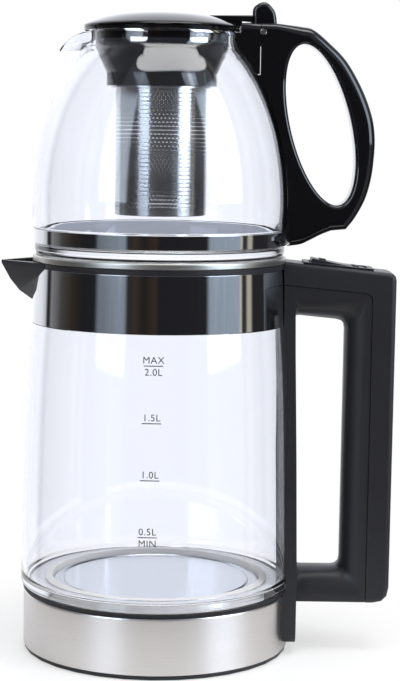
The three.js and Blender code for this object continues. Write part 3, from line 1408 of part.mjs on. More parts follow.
function makeInfuserCollar() {
  const flangeFoot = infuserTopZ - INFUSER_FLANGE;
  const coneTop = flangeFoot - INFUSER_COLLAR_DEPTH;
  const coneFoot = coneTop - INFUSER_CONE_DEPTH;
  const foot = coneFoot - INFUSER_WAIST_DEPTH;
  const wall = INFUSER_WALL;
  const collar = turned([
    [infuserCollarRadius - wall, infuserTopZ],
    [infuserCollarRadius - wall, coneTop],
    [infuserWaistRadius - wall, coneFoot],
    [infuserWaistRadius - wall, foot + wall],
    [tubeRadius - TUBE_SHEET, foot + wall],
    [tubeRadius - TUBE_SHEET, foot],
    [infuserWaistRadius, foot],
    [infuserWaistRadius, coneFoot],
    [infuserCollarRadius, coneTop],
    [infuserCollarRadius, flangeFoot],
    [infuserFlangeRadius, flangeFoot],
    [infuserFlangeRadius, infuserTopZ],
  ], INFUSER_FACETS);
  const half = infuserCollarRadius * Math.sin(radians(WINDOW_HALF_DEG));
  const sill = flangeFoot - SEAT_GAP - WINDOW_HEIGHT;
  const corners = [
    [-half, sill, WINDOW_CORNER],
    [half, sill, WINDOW_CORNER],
    [half, sill + WINDOW_HEIGHT, WINDOW_CORNER],
    [-half, sill + WINDOW_HEIGHT, WINDOW_CORNER],
  ];
  const opening = outlineOf(corners, 2);
  const windows = WINDOW_ANGLES_DEG.map((angle) => {
    const geometry = geometryOf(slabAlongX(opening, infuserWaistRadius, infuserFlangeRadius));
    return solidOf(geometry.rotateZ(radians(angle) - Math.PI / 2));
  });
  return cut(collar, ...windows);
}

function makeInfuserTube() {
  const top = infuserSeatZ - SEAT_GAP;
  const inner = tubeRadius - TUBE_SHEET;
  return turned([
    [inner, tubeFootZ],
    [tubeRadius, tubeFootZ],
    [tubeRadius, top - TUBE_SHEET],
    [tubeRadius + TUBE_FLANGE, top - TUBE_SHEET],
    [tubeRadius + TUBE_FLANGE, top],
    [inner, top],
  ], INFUSER_FACETS);
}

function makeInfuserBase() {
  const foot = tubeFootZ;
  const outer = tubeRadius - TUBE_SHEET - SEAT_GAP;
  const sheet = TUBE_SHEET;
  return turned([
    [0, foot],
    [outer, foot],
    [outer, foot + TUBE_BASE_HEIGHT],
    [outer - sheet, foot + TUBE_BASE_HEIGHT],
    [outer - sheet, foot + sheet],
    [0, foot + sheet],
  ], INFUSER_FACETS);
}

// Materials

function material(color, roughness, metalness, opacity = 1) {
  return new THREE.MeshStandardMaterial({
    color,
    roughness,
    metalness,
    opacity,
    transparent: opacity < 1,
  });
}

const finishes = {
  brushedSteel: () => material(0xcfc9c5, 0.35, 1),
  polishedSteel: () => material(0xc9ccd1, 0.08, 1),
  satinSteel: () => material(0xb4b4b2, 0.28, 1),
  aluminium: () => material(0xb9bcc0, 0.45, 1),
  brass: () => material(0xb08d48, 0.3, 1),
  glass: () => material(0xf2f6ff, 0.03, 0, 0.3),
  satinBlack: () => material(0x232328, 0.42, 0),
  glossBlack: () => material(0x08080a, 0.06, 0),
  darkRubber: () => material(0x151517, 0.6, 0),
  paleSilicone: () => material(0xcdc9c0, 0.5, 0),
  greyPlastic: () => material(0x55575c, 0.5, 0),
};

function named(name, solid, finish) {
  const mesh = new THREE.Mesh(geometryOf(solid), finishes[finish]());
  mesh.name = name;
  return mesh;
}

function kettleBase() {
  const group = new THREE.Group();
  group.add(
    named("base_shell", makeBaseShell(), "brushedSteel"),
    named("bottom_cover", makeBottomCover(), "satinBlack"),
    named("base_chassis", makeChassis(), "greyPlastic"),
    named("connector_housing", makeConnectorHousing(), "satinBlack"),
    named("connector_pin", makeLivePin(), "brass"),
    named("connector_ring", makeEarthRing(), "brass"),
    named("control_unit", makeControlUnit(), "greyPlastic"),
    named("heater_plate", makeHeaterPlate(), "satinSteel"),
    named("heat_spreader", makeHeatSpreader(), "aluminium"),
    named("heating_element", makeHeatingElement(), "satinSteel"),
  );
  bossPlaces().forEach((place, i) => {
    group.add(named(`cover_screw_${i + 1}`, makeCoverScrew(place), "satinSteel"));
  });
  return group;
}

function kettleVessel() {
  const group = new THREE.Group();
  group.add(
    named("base_seal", makeBaseSeal(), "darkRubber"),
    named("plate_seal", makePlateSeal(), "paleSilicone"),
    named("kettle_glass", makeKettleGlass(), "glass"),
    named("glass_gasket", makeGlassGasket(), "darkRubber"),
    named("rim_collar", makeRimCollar(), "satinBlack"),
    named("upper_band", makeUpperBand(), "polishedSteel"),
    named("seat_ring", makeSeatRing(), "polishedSteel"),
  );
  return group;
}

function kettleHandle() {
  const group = new THREE.Group();
  const legHeadX = shellInnerRadius - SEAT_GAP - HANDLE_SCREW_HEAD;
  const rimHeadX = collarBoreRadius - SEAT_GAP - HANDLE_SCREW_HEAD;
  group.add(
    named("handle_frame", makeHandleFrame(), "satinBlack"),
    named("handle_cover", makeHandleCover(), "satinBlack"),
    named("leg_screw", makeHandleScrew(legHeadX, legScrewTipX, LEG_SCREW_Z), "satinSteel"),
    named("rim_screw", makeHandleScrew(rimHeadX, rimScrewTipX, flangeFootZ - RIM_SCREW_DROP), "satinSteel"),
    named("switch_bezel", makeSwitchBezel(), "satinBlack"),
    named("switch_rocker", makeSwitchRocker(), "satinBlack"),
    named("micro_switch", sensorBlock(0), "greyPlastic"),
  );
  return group;
}

function teapot() {
  const group = new THREE.Group();
  group.add(
    named("pot_glass", makePotGlass(), "glass"),
    named("pot_band", makePotBand(), "polishedSteel"),
    named("neck_clip", makeNeckClip(), "polishedSteel"),
    named("hinge_block", makeHingeBlock(), "glossBlack"),
    named("pot_handle", makePotHandle(), "glossBlack"),
    named("hinge_pin", makeHingePin(), "satinSteel"),
  );
  return group;
}

function lidAndInfuser() {
  const group = new THREE.Group();
  group.add(
    named("lid_shell", makeLidShell(), "glossBlack"),
    named("lid_rim", makeLidRim(), "glossBlack"),
    named("lid_liner", makeLidLiner(), "glossBlack"),
    named("lid_lever", makeLidLever(), "glossBlack"),
    named("infuser_collar", makeInfuserCollar(), "glossBlack"),
    named("infuser_tube", makeInfuserTube(), "satinSteel"),
    named("infuser_base", makeInfuserBase(), "satinSteel"),
  );
  return group;
}

const teaMaker = new THREE.Group();
teaMaker.add(kettleBase(), kettleVessel(), kettleHandle(), teapot(), lidAndInfuser());

export default teaMaker;
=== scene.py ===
import math

import bmesh
import bpy
from mathutils import Matrix, Quaternion, Vector


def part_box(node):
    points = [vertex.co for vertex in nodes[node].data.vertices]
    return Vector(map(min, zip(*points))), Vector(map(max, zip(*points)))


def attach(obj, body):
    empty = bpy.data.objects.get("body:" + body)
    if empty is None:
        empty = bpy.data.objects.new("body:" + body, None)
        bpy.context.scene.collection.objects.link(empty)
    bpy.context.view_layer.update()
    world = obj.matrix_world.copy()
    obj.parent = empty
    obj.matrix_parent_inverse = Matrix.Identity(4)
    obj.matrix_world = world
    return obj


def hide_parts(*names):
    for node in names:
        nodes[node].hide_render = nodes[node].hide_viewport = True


MM = 0.001
MERGE_REACH, WELD_REACH = 1e-7, 2e-6  # in metres

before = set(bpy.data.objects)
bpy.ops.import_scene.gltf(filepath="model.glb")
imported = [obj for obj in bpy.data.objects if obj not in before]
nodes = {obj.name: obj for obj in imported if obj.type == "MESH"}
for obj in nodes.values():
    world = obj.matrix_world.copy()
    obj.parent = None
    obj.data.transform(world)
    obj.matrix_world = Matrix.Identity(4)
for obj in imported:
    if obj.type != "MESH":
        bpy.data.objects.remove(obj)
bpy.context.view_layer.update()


def span(name):
    """The lowest and the highest corner of a CAD node, in millimetres."""
    low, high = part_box(name)
    return low / MM, high / MM


# Heights and radii of the round nodes, in millimetres, from the frame
base_low, base_high = span("base_shell")
seal_low, seal_high = span("base_seal")
kettle_low, kettle_high = span("kettle_glass")
neck_low, neck_high = span("upper_band")
seat_low, seat_high = span("seat_ring")
pot_low, pot_high = span("pot_glass")
foot_band_low, foot_band_high = span("pot_band")
tube_low, tube_high = span("infuser_tube")
trim_low, trim_high = span("lid_rim")
lid_low = span("lid_shell")[0]

# Small sizes of the pieces that are built here, in millimetres
SEAT_GAP = 0.3
CUT_OVERRUN = 1
BASE_SHEET = 0.8
BASE_MOUTH = 58.9
BASE_ROUND = 1.3
SEAL_INNER = 60.8
SEAL_BEAD = 2.2
GLASS_HOLE = 60.5
GLASS_FLOOR = 3.5
GLASS_WALL = 3.0
GLASS_SHOULDER_RADIUS = 70.8
GLASS_FOOT_ROUND = 3.2
GLASS_BOWL_ROUND = 4.5
GLASS_NECK_INSET = 1.8
GLASS_TAPER_SHARE, GLASS_TAPER_POWER = 0.5, 4
BAND_SHEET = 0.6
BAND_NARROWING = 0.9
BAND_EDGE = 0.15
COLLAR_RISE = 3.0
SEAT_SHEET = 0.9
SEAT_WIDTH = 10.3
SEAT_HEIGHT = 3.3
SEAT_ROUND = 1.1
SPOUT_FLANGE_RADIUS = 70.3
SPOUT_TIP_X = 88.2
SPOUT_ROOT_X = 61.5
SPOUT_ROOT_DEG = 28.9
SPOUT_DEPTH = 23.0
SPOUT_TIP_DROP = 0.5
SPOUT_TIP_HALF_WIDTH = 1.2
SPOUT_TIP_THICKNESS = 1.6
SPOUT_BELLY_SHARES = [(0.94, 0.15), (0.71, 0.47), (0.42, 0.74)]

POT_WALL = 2.4
POT_FLOOR = 4.0
POT_PUNT = 1.2
POT_BELLY_Z = 249.7
POT_BELLY_RADIUS = 71.0
POT_DOME_HEIGHT = 108.0
POT_NECK_RADIUS = 41.5
POT_NECK_HEIGHT = 7.6
POT_NECK_ROUND = 3.2
POT_PUNT_IN, POT_PUNT_SLOPE, POT_PUNT_ROUND = 9.0, 2, 1.5
POT_FOOT_IN, POT_RING_ROUND, POT_FOOT_ROUND = 0.9, 1.2, 3.6
POT_GROOVE_IN, POT_SHOULDER_RISE, POT_SHOULDER_ROUND = 1.0, 0.4, 0.8
POT_FLANK_OUT, POT_FLANK_RISE, POT_FLANK_ROUND = 0.4, 6, 3
POT_BELLY_DROP, POT_INNER_DROP = 2, 3
POT_BOWL_SIDE_IN, POT_BOWL_SIDE_RISE, POT_BOWL_SIDE_ROUND = 0.5, 12, 3
POT_BOWL_FOOT_IN, POT_BOWL_FOOT_ROUND = 0.8, 8
POT_BOWL_FLAT_IN, POT_BOWL_FLAT_ROUND, POT_BOWL_DISH = 20, 10, 0.3
FOOT_BAND_SHEET, FOOT_BAND_EDGE, FOOT_BAND_SKIN = 0.7, 0.2, 0.05
LIP_OUT = 15.8
LIP_DROP = 9.9
LIP_HALF_WIDTH = 18.0
LIP_ROOT_DEPTH = 10.6
LIP_THINNING = 0.5
LIP_WIDTH_POWER, LIP_RISE_POWER = 1.5, 1.2
LIP_EDGE_SHARE, LIP_EDGE_REACH = 0.07, 0.12
LIP_FALL_SHARE, LIP_FALL_POWER = 0.93, 2.2

HINGE_OUT, HINGE_RISE = 14.0, 0.3
HINGE_BORE = 1.7
GRIP_HALF_WIDTH, GRIP_EDGE, GRIP_TOP_RISE = 10.5, 2.6, 5.0
GRIP_SHOULDER, GRIP_SHOULDER_REACH = 5.2, 22.0
GRIP_SEAM_IN, GRIP_SEAM_DROP = 1.35, 23.1
GRIP_RAMP_OUT = 7.1
GRIP_BACK = [(35.1, 1.029), (41.9, 1.016), (49.5, 0.954), (56.0, 0.884), (60.3, 0.796), (62.9, 0.708)]
GRIP_BACK += [(63.9, 0.619), (62.7, 0.531), (59.7, 0.441), (55.7, 0.351), (50.0, 0.261), (42.3, 0.179)]
GRIP_BACK.append((35.8, 0.126))
GRIP_FOOT = [(27.3, 0.119), (21.1, 0.100), (15.0, 0.077), (8.8, 0.056), (1.9, 0.048)]
FINGER_HOLE_CENTRE, FINGER_HOLE_SIZE, FINGER_HOLE_LEAN = (34.3, 0.593), (17.0, 0.357), 2.7
LEVER_SLOT = [(-6.9, -7.6), (7.1, -7.6), (17.5, -1.6), (17.5, 8.0), (-6.9, 8.0)]
LEVER_SLOT_HALF_WIDTH = 6.4
FINGER_HOLE_FLARE_SHARE = 1.01
SADDLE_HALF_WIDTH, SADDLE_HEIGHT, SADDLE_WALL = 33.0, 11.0, 2.6
SADDLE_WIDTH_SHARES, SADDLE_SHOULDER_SHARE, SADDLE_TOP_ROUND_SHARE = (0.7, 0.8, 0.98, 0.97), 0.4, 1.5
SADDLE_CHAMFER, SADDLE_START = 1, 1
POT_FORM_BELOW, POT_FORM_ABOVE = 5, 20
LEVER_HALF_WIDTH, LEVER_KNUCKLE, LEVER_EDGE, LEVER_FACE_IN = 6.0, 6.2, 2.4, 6.0
LEVER_REAR_SHARE = 0.9
LEVER_FIN = [(-5.9, 12.4), (-3.3, 15.2), (0.0, 16.3), (2.9, 15.2), (6.3, 10.9), (7.5, 4.4)]

LID_DOME_RISE = 7.3
LID_DOME_POWER = 3
LID_SHEET = 1.8
LID_CAVITY_RADIUS = 35.8
LID_ARM_START, LID_ARM_END = 26.0, 49.48
LID_ARM_FOOT, LID_ARM_TOP = 5.3, 9.2
LID_ARM_HALF_WIDTH, LID_WEB_HALF_WIDTH = 8.0, 7.0
LID_WEB_REACH = 0.4
LID_LEAN = 0.5
LID_TRIM_HEIGHT = 1.3
LID_DOME_IN, LID_SIDE_DROP = 0.4, 0.5
LID_ARM_CHAMFER, LID_ARM_SINK, LID_ARM_STEP = 0.8, 0.4, 0.1
TRIM_SHEET, TRIM_TOP_IN, TRIM_EDGE = 0.9, 0.1, 0.2
TUBE_SHEET = 0.6
TUBE_RADIUS = 25.4
TUBE_PLAIN_FOOT = 3.0
TUBE_FOOT_ROUND, TUBE_FLANGE_ROUND = 0.3, 0.2
TUBE_HOLE_RADIUS = 0.22
TUBE_HOLE_ROWS, TUBE_HOLES_ROUND = 30, 71
TUBE_HOLE_PITCH = 2.2

# Steps round a full turn
SLICES, POT_SLICES, SADDLE_SLICES = 192, 240, 160
TUBE_SLICES, HOLE_SLICES, BAR_SLICES, FLOOR_SLICES = 96, 96, 48, 96


# Meshes


def set_values(target, values):
    for key, value in values.items():
        setattr(target, key, value)
    return target


def link_object(name, data):
    made = bpy.data.objects.new(name, data)
    bpy.context.scene.collection.objects.link(made)
    return made


def mesh_object(name, points, faces):
    """A mesh object from points in millimetres."""
    mesh = bpy.data.meshes.new(name)
    mesh.from_pydata([[c * MM for c in p] for p in points], [], faces)
    mesh.validate()
    return link_object(name, mesh)


def reworked(made, change):
    """Changes an object's mesh and turns its faces outward."""
    work = bmesh.new()
    work.from_mesh(made.data)
    change(work)
    bmesh.ops.recalc_face_normals(work, faces=work.faces)
    work.to_mesh(made.data)
    work.free()
    return made


def welded(made):
    """Joins points that meet and turns the faces outward."""
    return reworked(made, lambda work: bmesh.ops.remove_doubles(work, verts=work.verts, dist=MERGE_REACH))


def turns(steps):
    """The angles of even steps round a full turn."""
    return [2 * math.pi * k / steps for k in range(steps)]


def polar(radius, angle):
    return radius * math.cos(angle), radius * math.sin(angle)


def loft(name, sections):
    """A closed solid through loops of equal length, capped at both ends."""
    count = len(sections[0])
    points = [p for section in sections for p in section]
    faces = [list(range(count))[::-1], [(len(sections) - 1) * count + i for i in range(count)]]
    for k in range(len(sections) - 1):
        a, b = k * count, (k + 1) * count
        faces += [[a + i, a + (i + 1) % count, b + (i + 1) % count, b + i] for i in range(count)]
    return welded(mesh_object(name, points, faces))


def turned(name, slices, spans):
    """A solid from slices all round an axis, each joined to the next along some of its spans."""
    count, steps = len(slices[0]), len(slices)
    faces = []
    for k in range(steps):
        a, b = k * count, (k + 1) % steps * count
        faces += [[a + i, b + i, b + (i + 1) % count, a + (i + 1) % count] for i in spans]
    return welded(mesh_object(name, [p for line in slices for p in line], faces))


def lathe(name, profile, steps=SLICES):
    """A solid of revolution about Z from a closed line of (radius, z)."""
    slices = [[(*polar(r, angle), z) for r, z in profile] for angle in turns(steps)]
    radii = [r for r, _ in profile]
    off_axis = [i for i, (here, after) in enumerate(zip(radii, radii[1:] + radii[:1])) if here or after]
    return turned(name, slices, off_axis)


def rounded(corners, steps=4, closed=True):
    """A line of points with its corners (a, b, radius) rounded."""
    line = []
    count = len(corners)
    for i, corner in enumerate(corners):
        at = Vector(corner[:2])
        radius = corner[2] if len(corner) > 2 else 0
        if not radius or (not closed and i in (0, count - 1)):
            line.append((at.x, at.y))
            continue
        before = Vector(corners[i - 1][:2]) - at
        after = Vector(corners[(i + 1) % count][:2]) - at
        start = at + before.normalized() * min(radius, before.length * 0.49)
        end = at + after.normalized() * min(radius, after.length * 0.49)
        for k in range(steps + 1):
            t = k / steps
            point = start * (1 - t) ** 2 + at * 2 * t * (1 - t) + end * t * t
            line.append((point.x, point.y))
    return line


def both_sides(points):
    return [(x, side * y, z) for side in (-1, 1) for x, y, z in points]


def hull(name, points):
    """The convex solid round points."""

    def wrap(work):
        bmesh.ops.convex_hull(work, input=work.verts)
        bmesh.ops.dissolve_limit(work, angle_limit=0.01, verts=work.verts, edges=work.edges)

    return reworked(mesh_object(name, points, []), wrap)


def modify(made, name, kind, **values):
    set_values(made.modifiers.new(name, kind), values)


def applied_mesh(made):
    """An object's mesh with its modifiers applied."""
    bpy.context.view_layer.update()
    return bpy.data.meshes.new_from_object(made.evaluated_get(bpy.context.evaluated_depsgraph_get()))


def carve(target, *tools, operation="DIFFERENCE"):
    """Cuts the tools out of the target, or joins them to it, and removes them."""
    for tool in tools:
        modify(target, "carve", "BOOLEAN", operation=operation, solver="EXACT", object=tool)
    fresh = applied_mesh(target)
    target.modifiers.clear()
    target.data = fresh
    for tool in tools:
        bpy.data.objects.remove(tool)
    return target


def feed(node, inputs):
    """Gives a node's inputs an output to follow or a value to hold."""
    for name, source in inputs.items():
        if isinstance(source, bpy.types.NodeSocket):
            node.id_data.links.new(source, node.inputs[name])
        else:
            node.inputs[name].default_value = source
    return node


def add(tree, kind, inputs=None, **values):
    return feed(set_values(tree.nodes.new(kind), values), inputs or {})


def soften(made, angle, bevel=0.0):
    """Welds the mesh, rounds its edges where asked and shades it smooth up to an angle."""
    modify(made, "weld", "WELD", merge_threshold=WELD_REACH)
    if bevel:
        sharp = {"limit_method": "ANGLE", "angle_limit": math.radians(angle), "miter_outer": "MITER_ARC"}
        modify(made, "edge", "BEVEL", width=bevel * MM, segments=2, **sharp)
    modify(made, "smooth", "NODES", node_group=smoothing_group(angle))
    modify(made, "even", "WEIGHTED_NORMAL", keep_sharp=True)


def smoothing_group(angle):
    """A node group that shades smooth and keeps the edges sharp above an angle."""
    name = f"smooth_{angle:g}"
    if name in bpy.data.node_groups:
        return bpy.data.node_groups[name]
    tree = bpy.data.node_groups.new(name, "GeometryNodeTree")
    for way in ("INPUT", "OUTPUT"):
        tree.interface.new_socket("Geometry", in_out=way, socket_type="NodeSocketGeometry")
    between = add(tree, "GeometryNodeInputMeshEdgeAngle").outputs["Unsigned Angle"]
    limits = {"A": between, "B": math.radians(angle)}
    below = add(tree, "FunctionNodeCompare", limits, data_type="FLOAT", operation="LESS_EQUAL")
    start = add(tree, "NodeGroupInput").outputs[0]
    faces = add(tree, "GeometryNodeSetShadeSmooth", {"Geometry": start}).outputs[0]
    parts = {"Geometry": faces, "Shade Smooth": below.outputs[0]}
    edges = add(tree, "GeometryNodeSetShadeSmooth", parts, domain="EDGE").outputs[0]
    add(tree, "NodeGroupOutput", {0: edges})
    return tree


def place(made, body, slot, look, *replaced, angle=35):
    """Finishes a new piece and says what it rides on and stands for."""
    made.data.materials.clear()
    made.data.materials.append(look)
    soften(made, angle)
    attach(made, body)
    if replaced:
        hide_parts(*replaced)
    return made


def dress(name, look, angle=35, bevel=0.0):
    """Gives a CAD node its finish, with smooth shading and, where asked, small rounded edges."""
    node = nodes[name]
    if not node.material_slots:
        node.data.materials.append(look)
    for held in node.material_slots:
        held.link = "OBJECT"
        held.material = look
    soften(node, angle, bevel)


# Looks

BRUSH_ALONG, BRUSH_ROUND, BRUSH_DEPTH = 2600, 1.6, 0.0001
BRUSH_ANISOTROPY, BRUSH_TURN = 0.55, 0.25
STREAK_ALONG, STREAK_ROUND = 12, 60
PLASTIC_CLOUD_SCALE, PLASTIC_GRAIN_DEPTH = 25, 0.00008
GLASS_IOR = 1.47
GLASS_WAVE_SCALE, GLASS_WAVE_STRENGTH, GLASS_WAVE_DEPTH = 14, 0.02, 0.0004


def new_look(name, base, metallic, roughness):
    look = bpy.data.materials.new(name)
    look.use_nodes = True
    shader = look.node_tree.nodes["Principled BSDF"]
    feed(shader, {"Base Color": (*base, 1), "Metallic": metallic, "Roughness": roughness})
    return look, look.node_tree, shader


def calculate(tree, operation, first, second):
    """A maths node between an output and another output or a number."""
    return add(tree, "ShaderNodeMath", {0: first, 1: second}, operation=operation).outputs[0]


def spread(tree, source, low, high, start=0.0, end=1.0, kind="LINEAR"):
    """Maps an output from one range of numbers to another."""
    ends = {"Value": source, "From Min": start, "From Max": end, "To Min": low, "To Max": high}
    return add(tree, "ShaderNodeMapRange", ends, interpolation_type=kind).outputs["Result"]


def tint(tree, source, dark, light):
    """Maps an output to a run between two colours."""
    made = add(tree, "ShaderNodeValToRGB", {"Fac": source})
    for element, colour in zip(made.color_ramp.elements, (dark, light)):
        element.color = (*colour, 1)
    return made.outputs["Color"]


def noise(tree, scale, detail=2.0, rough=0.5, vector=None):
    vector = vector or add(tree, "ShaderNodeTexCoord").outputs["Object"]
    inputs = {"Vector": vector, "Scale": scale, "Detail": detail, "Roughness": rough}
    return add(tree, "ShaderNodeTexNoise", inputs).outputs["Fac"]


def vary(tree, shader, cloud, colours, grain, rough):
    """Runs the colour with one texture and the roughness with another."""
    feed(shader, {"Base Color": tint(tree, cloud, *colours), "Roughness": spread(tree, grain, *rough)})


def bump(tree, shader, height, strength, distance):
    made = add(tree, "ShaderNodeBump", {"Height": height, "Strength": strength, "Distance": distance})
    feed(shader, {"Normal": made.outputs["Normal"]})


def mix_shaders(tree, factor, first, second):
    return add(tree, "ShaderNodeMixShader", {0: factor, 1: first, 2: second}).outputs[0]


def mix_colours(tree, factor, first, second, kind="MIX"):
    inputs = {"Factor": factor, "A": first, "B": second}
    return add(tree, "ShaderNodeMix", inputs, data_type="RGBA", blend_type=kind).outputs["Result"]


def round_grain(tree, along, across):
    """Coordinates that run round the axis, at one scale up Z and another round it."""
    split = add(tree, "ShaderNodeSeparateXYZ", {0: add(tree, "ShaderNodeTexCoord").outputs["Object"]})
    angle = calculate(tree, "ARCTAN2", split.outputs["Y"], split.outputs["X"])
    turn = calculate(tree, "MULTIPLY", angle, across)
    height = calculate(tree, "MULTIPLY", split.outputs["Z"], along)
    return add(tree, "ShaderNodeCombineXYZ", {"X": turn, "Y": height}).outputs[0]


def brushed_look(name, colours, rough, strength, metallic=1.0):
    """Sheet brushed round the axis."""
    look, tree, shader = new_look(name, colours[1], metallic, rough[1])
    grain = noise(tree, 1.0, 3.0, 0.6, round_grain(tree, BRUSH_ALONG, BRUSH_ROUND))
    vary(tree, shader, grain, colours, grain, rough)
    bump(tree, shader, grain, strength, BRUSH_DEPTH)
    feed(shader, {"Anisotropic": BRUSH_ANISOTROPY, "Anisotropic Rotation": BRUSH_TURN})
    return look


def streaked_look(name, colours, rough):
    """Polished sheet, with faint streaks up it from rolling."""
    look, tree, shader = new_look(name, colours[1], 1.0, rough[0])
    streaks = noise(tree, 1.0, 3.0, 0.7, round_grain(tree, STREAK_ALONG, STREAK_ROUND))
    vary(tree, shader, streaks, colours, streaks, rough)
    return look


def metal_look(name, colours, rough, scale=60):
    look, tree, shader = new_look(name, colours[1], 1.0, rough[0])
    cloud = noise(tree, scale, 4.0)
    vary(tree, shader, cloud, colours, cloud, rough)
    return look


def plastic_look(name, colours, rough, grain_scale, strength, level=0.5):
    """Moulded plastic, clouded in colour, with a fine grain where it has any strength."""
    look, tree, shader = new_look(name, colours[0], 0.0, rough[0])
    grain = noise(tree, grain_scale)
    vary(tree, shader, noise(tree, PLASTIC_CLOUD_SCALE, 3.0), colours, grain, rough)
    feed(shader, {"Specular IOR Level": level})
    if strength:
        bump(tree, shader, grain, strength, PLASTIC_GRAIN_DEPTH)
    return look


def glass_look(name, colour):
    """Clear glass that lets lamps and soft light reach what stands behind it."""
    look, tree, shader = new_look(name, colour, 0.0, 0.0)
    feed(shader, {"Transmission Weight": 1.0, "IOR": GLASS_IOR})
    bump(tree, shader, noise(tree, GLASS_WAVE_SCALE, 1.0), GLASS_WAVE_STRENGTH, GLASS_WAVE_DEPTH)
    clear = add(tree, "ShaderNodeBsdfTransparent", {"Color": (*colour, 1)})
    path = add(tree, "ShaderNodeLightPath").outputs
    soft = calculate(tree, "MAXIMUM", path["Is Shadow Ray"], path["Is Diffuse Ray"])
    both = mix_shaders(tree, soft, shader.outputs[0], clear.outputs[0])
    feed(tree.nodes["Material Output"], {"Surface": both})
    return look


# Each look's darkest and lightest colour, its least and most roughness, and the strength of its grain
brushed = brushed_look("brushed_steel", [(0.6, 0.575, 0.56), (0.69, 0.665, 0.65)], (0.25, 0.33), 0.06)
polished = streaked_look("polished_steel", [(0.58, 0.58, 0.6), (0.72, 0.73, 0.75)], (0.03, 0.08))
seat_steel = brushed_look("satin_seat_steel", [(0.44, 0.43, 0.4), (0.54, 0.53, 0.49)], (0.34, 0.44), 0.05)
satin_steel = brushed_look("satin_steel", [(0.56, 0.56, 0.56), (0.68, 0.68, 0.68)], (0.16, 0.26), 0.05)
# The foot band's inner face: a pale non-metal grey, a painted reflection standing in for the brushed steel's
# bright reflections seen through the glass
band_back_painted_reflection = brushed_look(
    "steel_back_painted_reflection", [(0.8, 0.8, 0.83), (0.9, 0.9, 0.93)], (0.5, 0.65), 0.1, metallic=0.0
)
heater_steel = metal_look("heater_steel", [(0.7, 0.72, 0.77), (0.75, 0.77, 0.82)], (0.22, 0.3), scale=30)
aluminium = metal_look("cast_aluminium", [(0.5, 0.5, 0.52), (0.62, 0.62, 0.64)], (0.4, 0.55))
brass = metal_look("brass", [(0.42, 0.27, 0.09), (0.6, 0.42, 0.16)], (0.2, 0.34), scale=200)
satin_black = plastic_look(
    "satin_black_plastic", [(0.016, 0.016, 0.019), (0.022, 0.022, 0.026)], (0.34, 0.46), 2600, 0.25, 0.3
)
gloss_black = plastic_look(
    "gloss_black_plastic", [(0.004, 0.004, 0.005), (0.006, 0.006, 0.007)], (0.03, 0.06), 900, 0
)
rubber = plastic_look(
    "black_silicone", [(0.006, 0.006, 0.007), (0.01, 0.01, 0.011)], (0.5, 0.6), 1800, 0.2, 0.3
)
pale_rubber = plastic_look("pale_silicone", [(0.82, 0.8, 0.76), (0.88, 0.865, 0.83)], (0.4, 0.5), 900, 0.1)
grey_plastic = plastic_look(
    "grey_plastic", [(0.08, 0.085, 0.09), (0.11, 0.115, 0.12)], (0.45, 0.6), 2000, 0.2
)
print_ink = plastic_look("level_ink", [(0.006, 0.006, 0.007), (0.012, 0.012, 0.013)], (0.4, 0.5), 3000, 0)
clear_glass = glass_look("clear_glass", (0.965, 0.975, 1.0))


# Kettle

GLASS_FLOOR_Z = kettle_low.z + GLASS_FLOOR
BAND_FOOT_Z = neck_low.z
FLANGE_FOOT_Z = neck_high.z + SEAT_GAP
COLLAR_TOP_Z = neck_high.z + COLLAR_RISE


def glass_radius(z):
    """The kettle glass's outer radius, from its foot up to the shoulder."""
    share = max(0.0, (z - GLASS_FLOOR_Z) / (BAND_FOOT_Z - GLASS_FLOOR_Z))
    taper = GLASS_TAPER_SHARE * share + (1 - GLASS_TAPER_SHARE) * share**GLASS_TAPER_POWER
    return kettle_high.y - (kettle_high.y - GLASS_SHOULDER_RADIUS) * taper


def make_kettle_glass():
    steps = 30
    high = BAND_FOOT_Z - SEAT_GAP
    heights = [GLASS_FLOOR_Z + (high - GLASS_FLOOR_Z) * i / steps for i in range(steps + 1)]
    outside = [(glass_radius(z), z) for z in heights]
    inside = [(glass_radius(z) - GLASS_WALL, z) for z in reversed(heights[2:])]
    foot_z = kettle_low.z
    outer, inner = kettle_high.y, kettle_high.y - GLASS_WALL
    foot = [(GLASS_HOLE, foot_z), (outer, foot_z, GLASS_FOOT_ROUND), (outer, heights[1])]
    bowl = [(inner, heights[2]), (inner, GLASS_FLOOR_Z, GLASS_BOWL_ROUND), (GLASS_HOLE, GLASS_FLOOR_Z)]
    foot, bowl = rounded(foot, 6, closed=False), rounded(bowl, 6, closed=False)
    neck = neck_high.y - BAND_NARROWING - BAND_SHEET - SEAT_GAP
    bend = [(neck + GLASS_NECK_INSET / 2, BAND_FOOT_Z), (neck, BAND_FOOT_Z + GLASS_NECK_INSET)]
    top = [*bend, (neck, kettle_high.z), (neck - GLASS_WALL, kettle_high.z)]
    return lathe("kettle_body_glass", [*foot[:-1], *outside[1:], *top, *inside[:-1], *bowl[1:]])


def make_base_shell():
    outer, foot, top = base_high.y, base_low.z, base_high.z
    inner, under = outer - BASE_SHEET, top - BASE_SHEET
    profile = [(inner, foot), (outer, foot, SEAT_GAP), (outer, top, BASE_ROUND)]
    profile += [(BASE_MOUTH, top), (BASE_MOUTH, under), (inner, under, SEAT_GAP)]
    return lathe("base_steel", rounded(profile))


def make_seal():
    """The seal's black outer bead, and a pale inner ring under the glass foot, a painted reflection for the
    light seen through the foot.
    """
    edge, foot, top = seal_high.y - SEAL_BEAD, seal_low.z, seal_high.z
    bead = [(edge, foot), (base_high.y, foot, SEAT_GAP), (seal_high.y, top, SEAT_GAP), (edge, top)]
    reflection_ring = [(SEAL_INNER, foot), (edge, foot), (edge, top), (SEAL_INNER, top)]
    return lathe("base_seal_bead", rounded(bead)), lathe("base_seal_painted_reflection", reflection_ring)


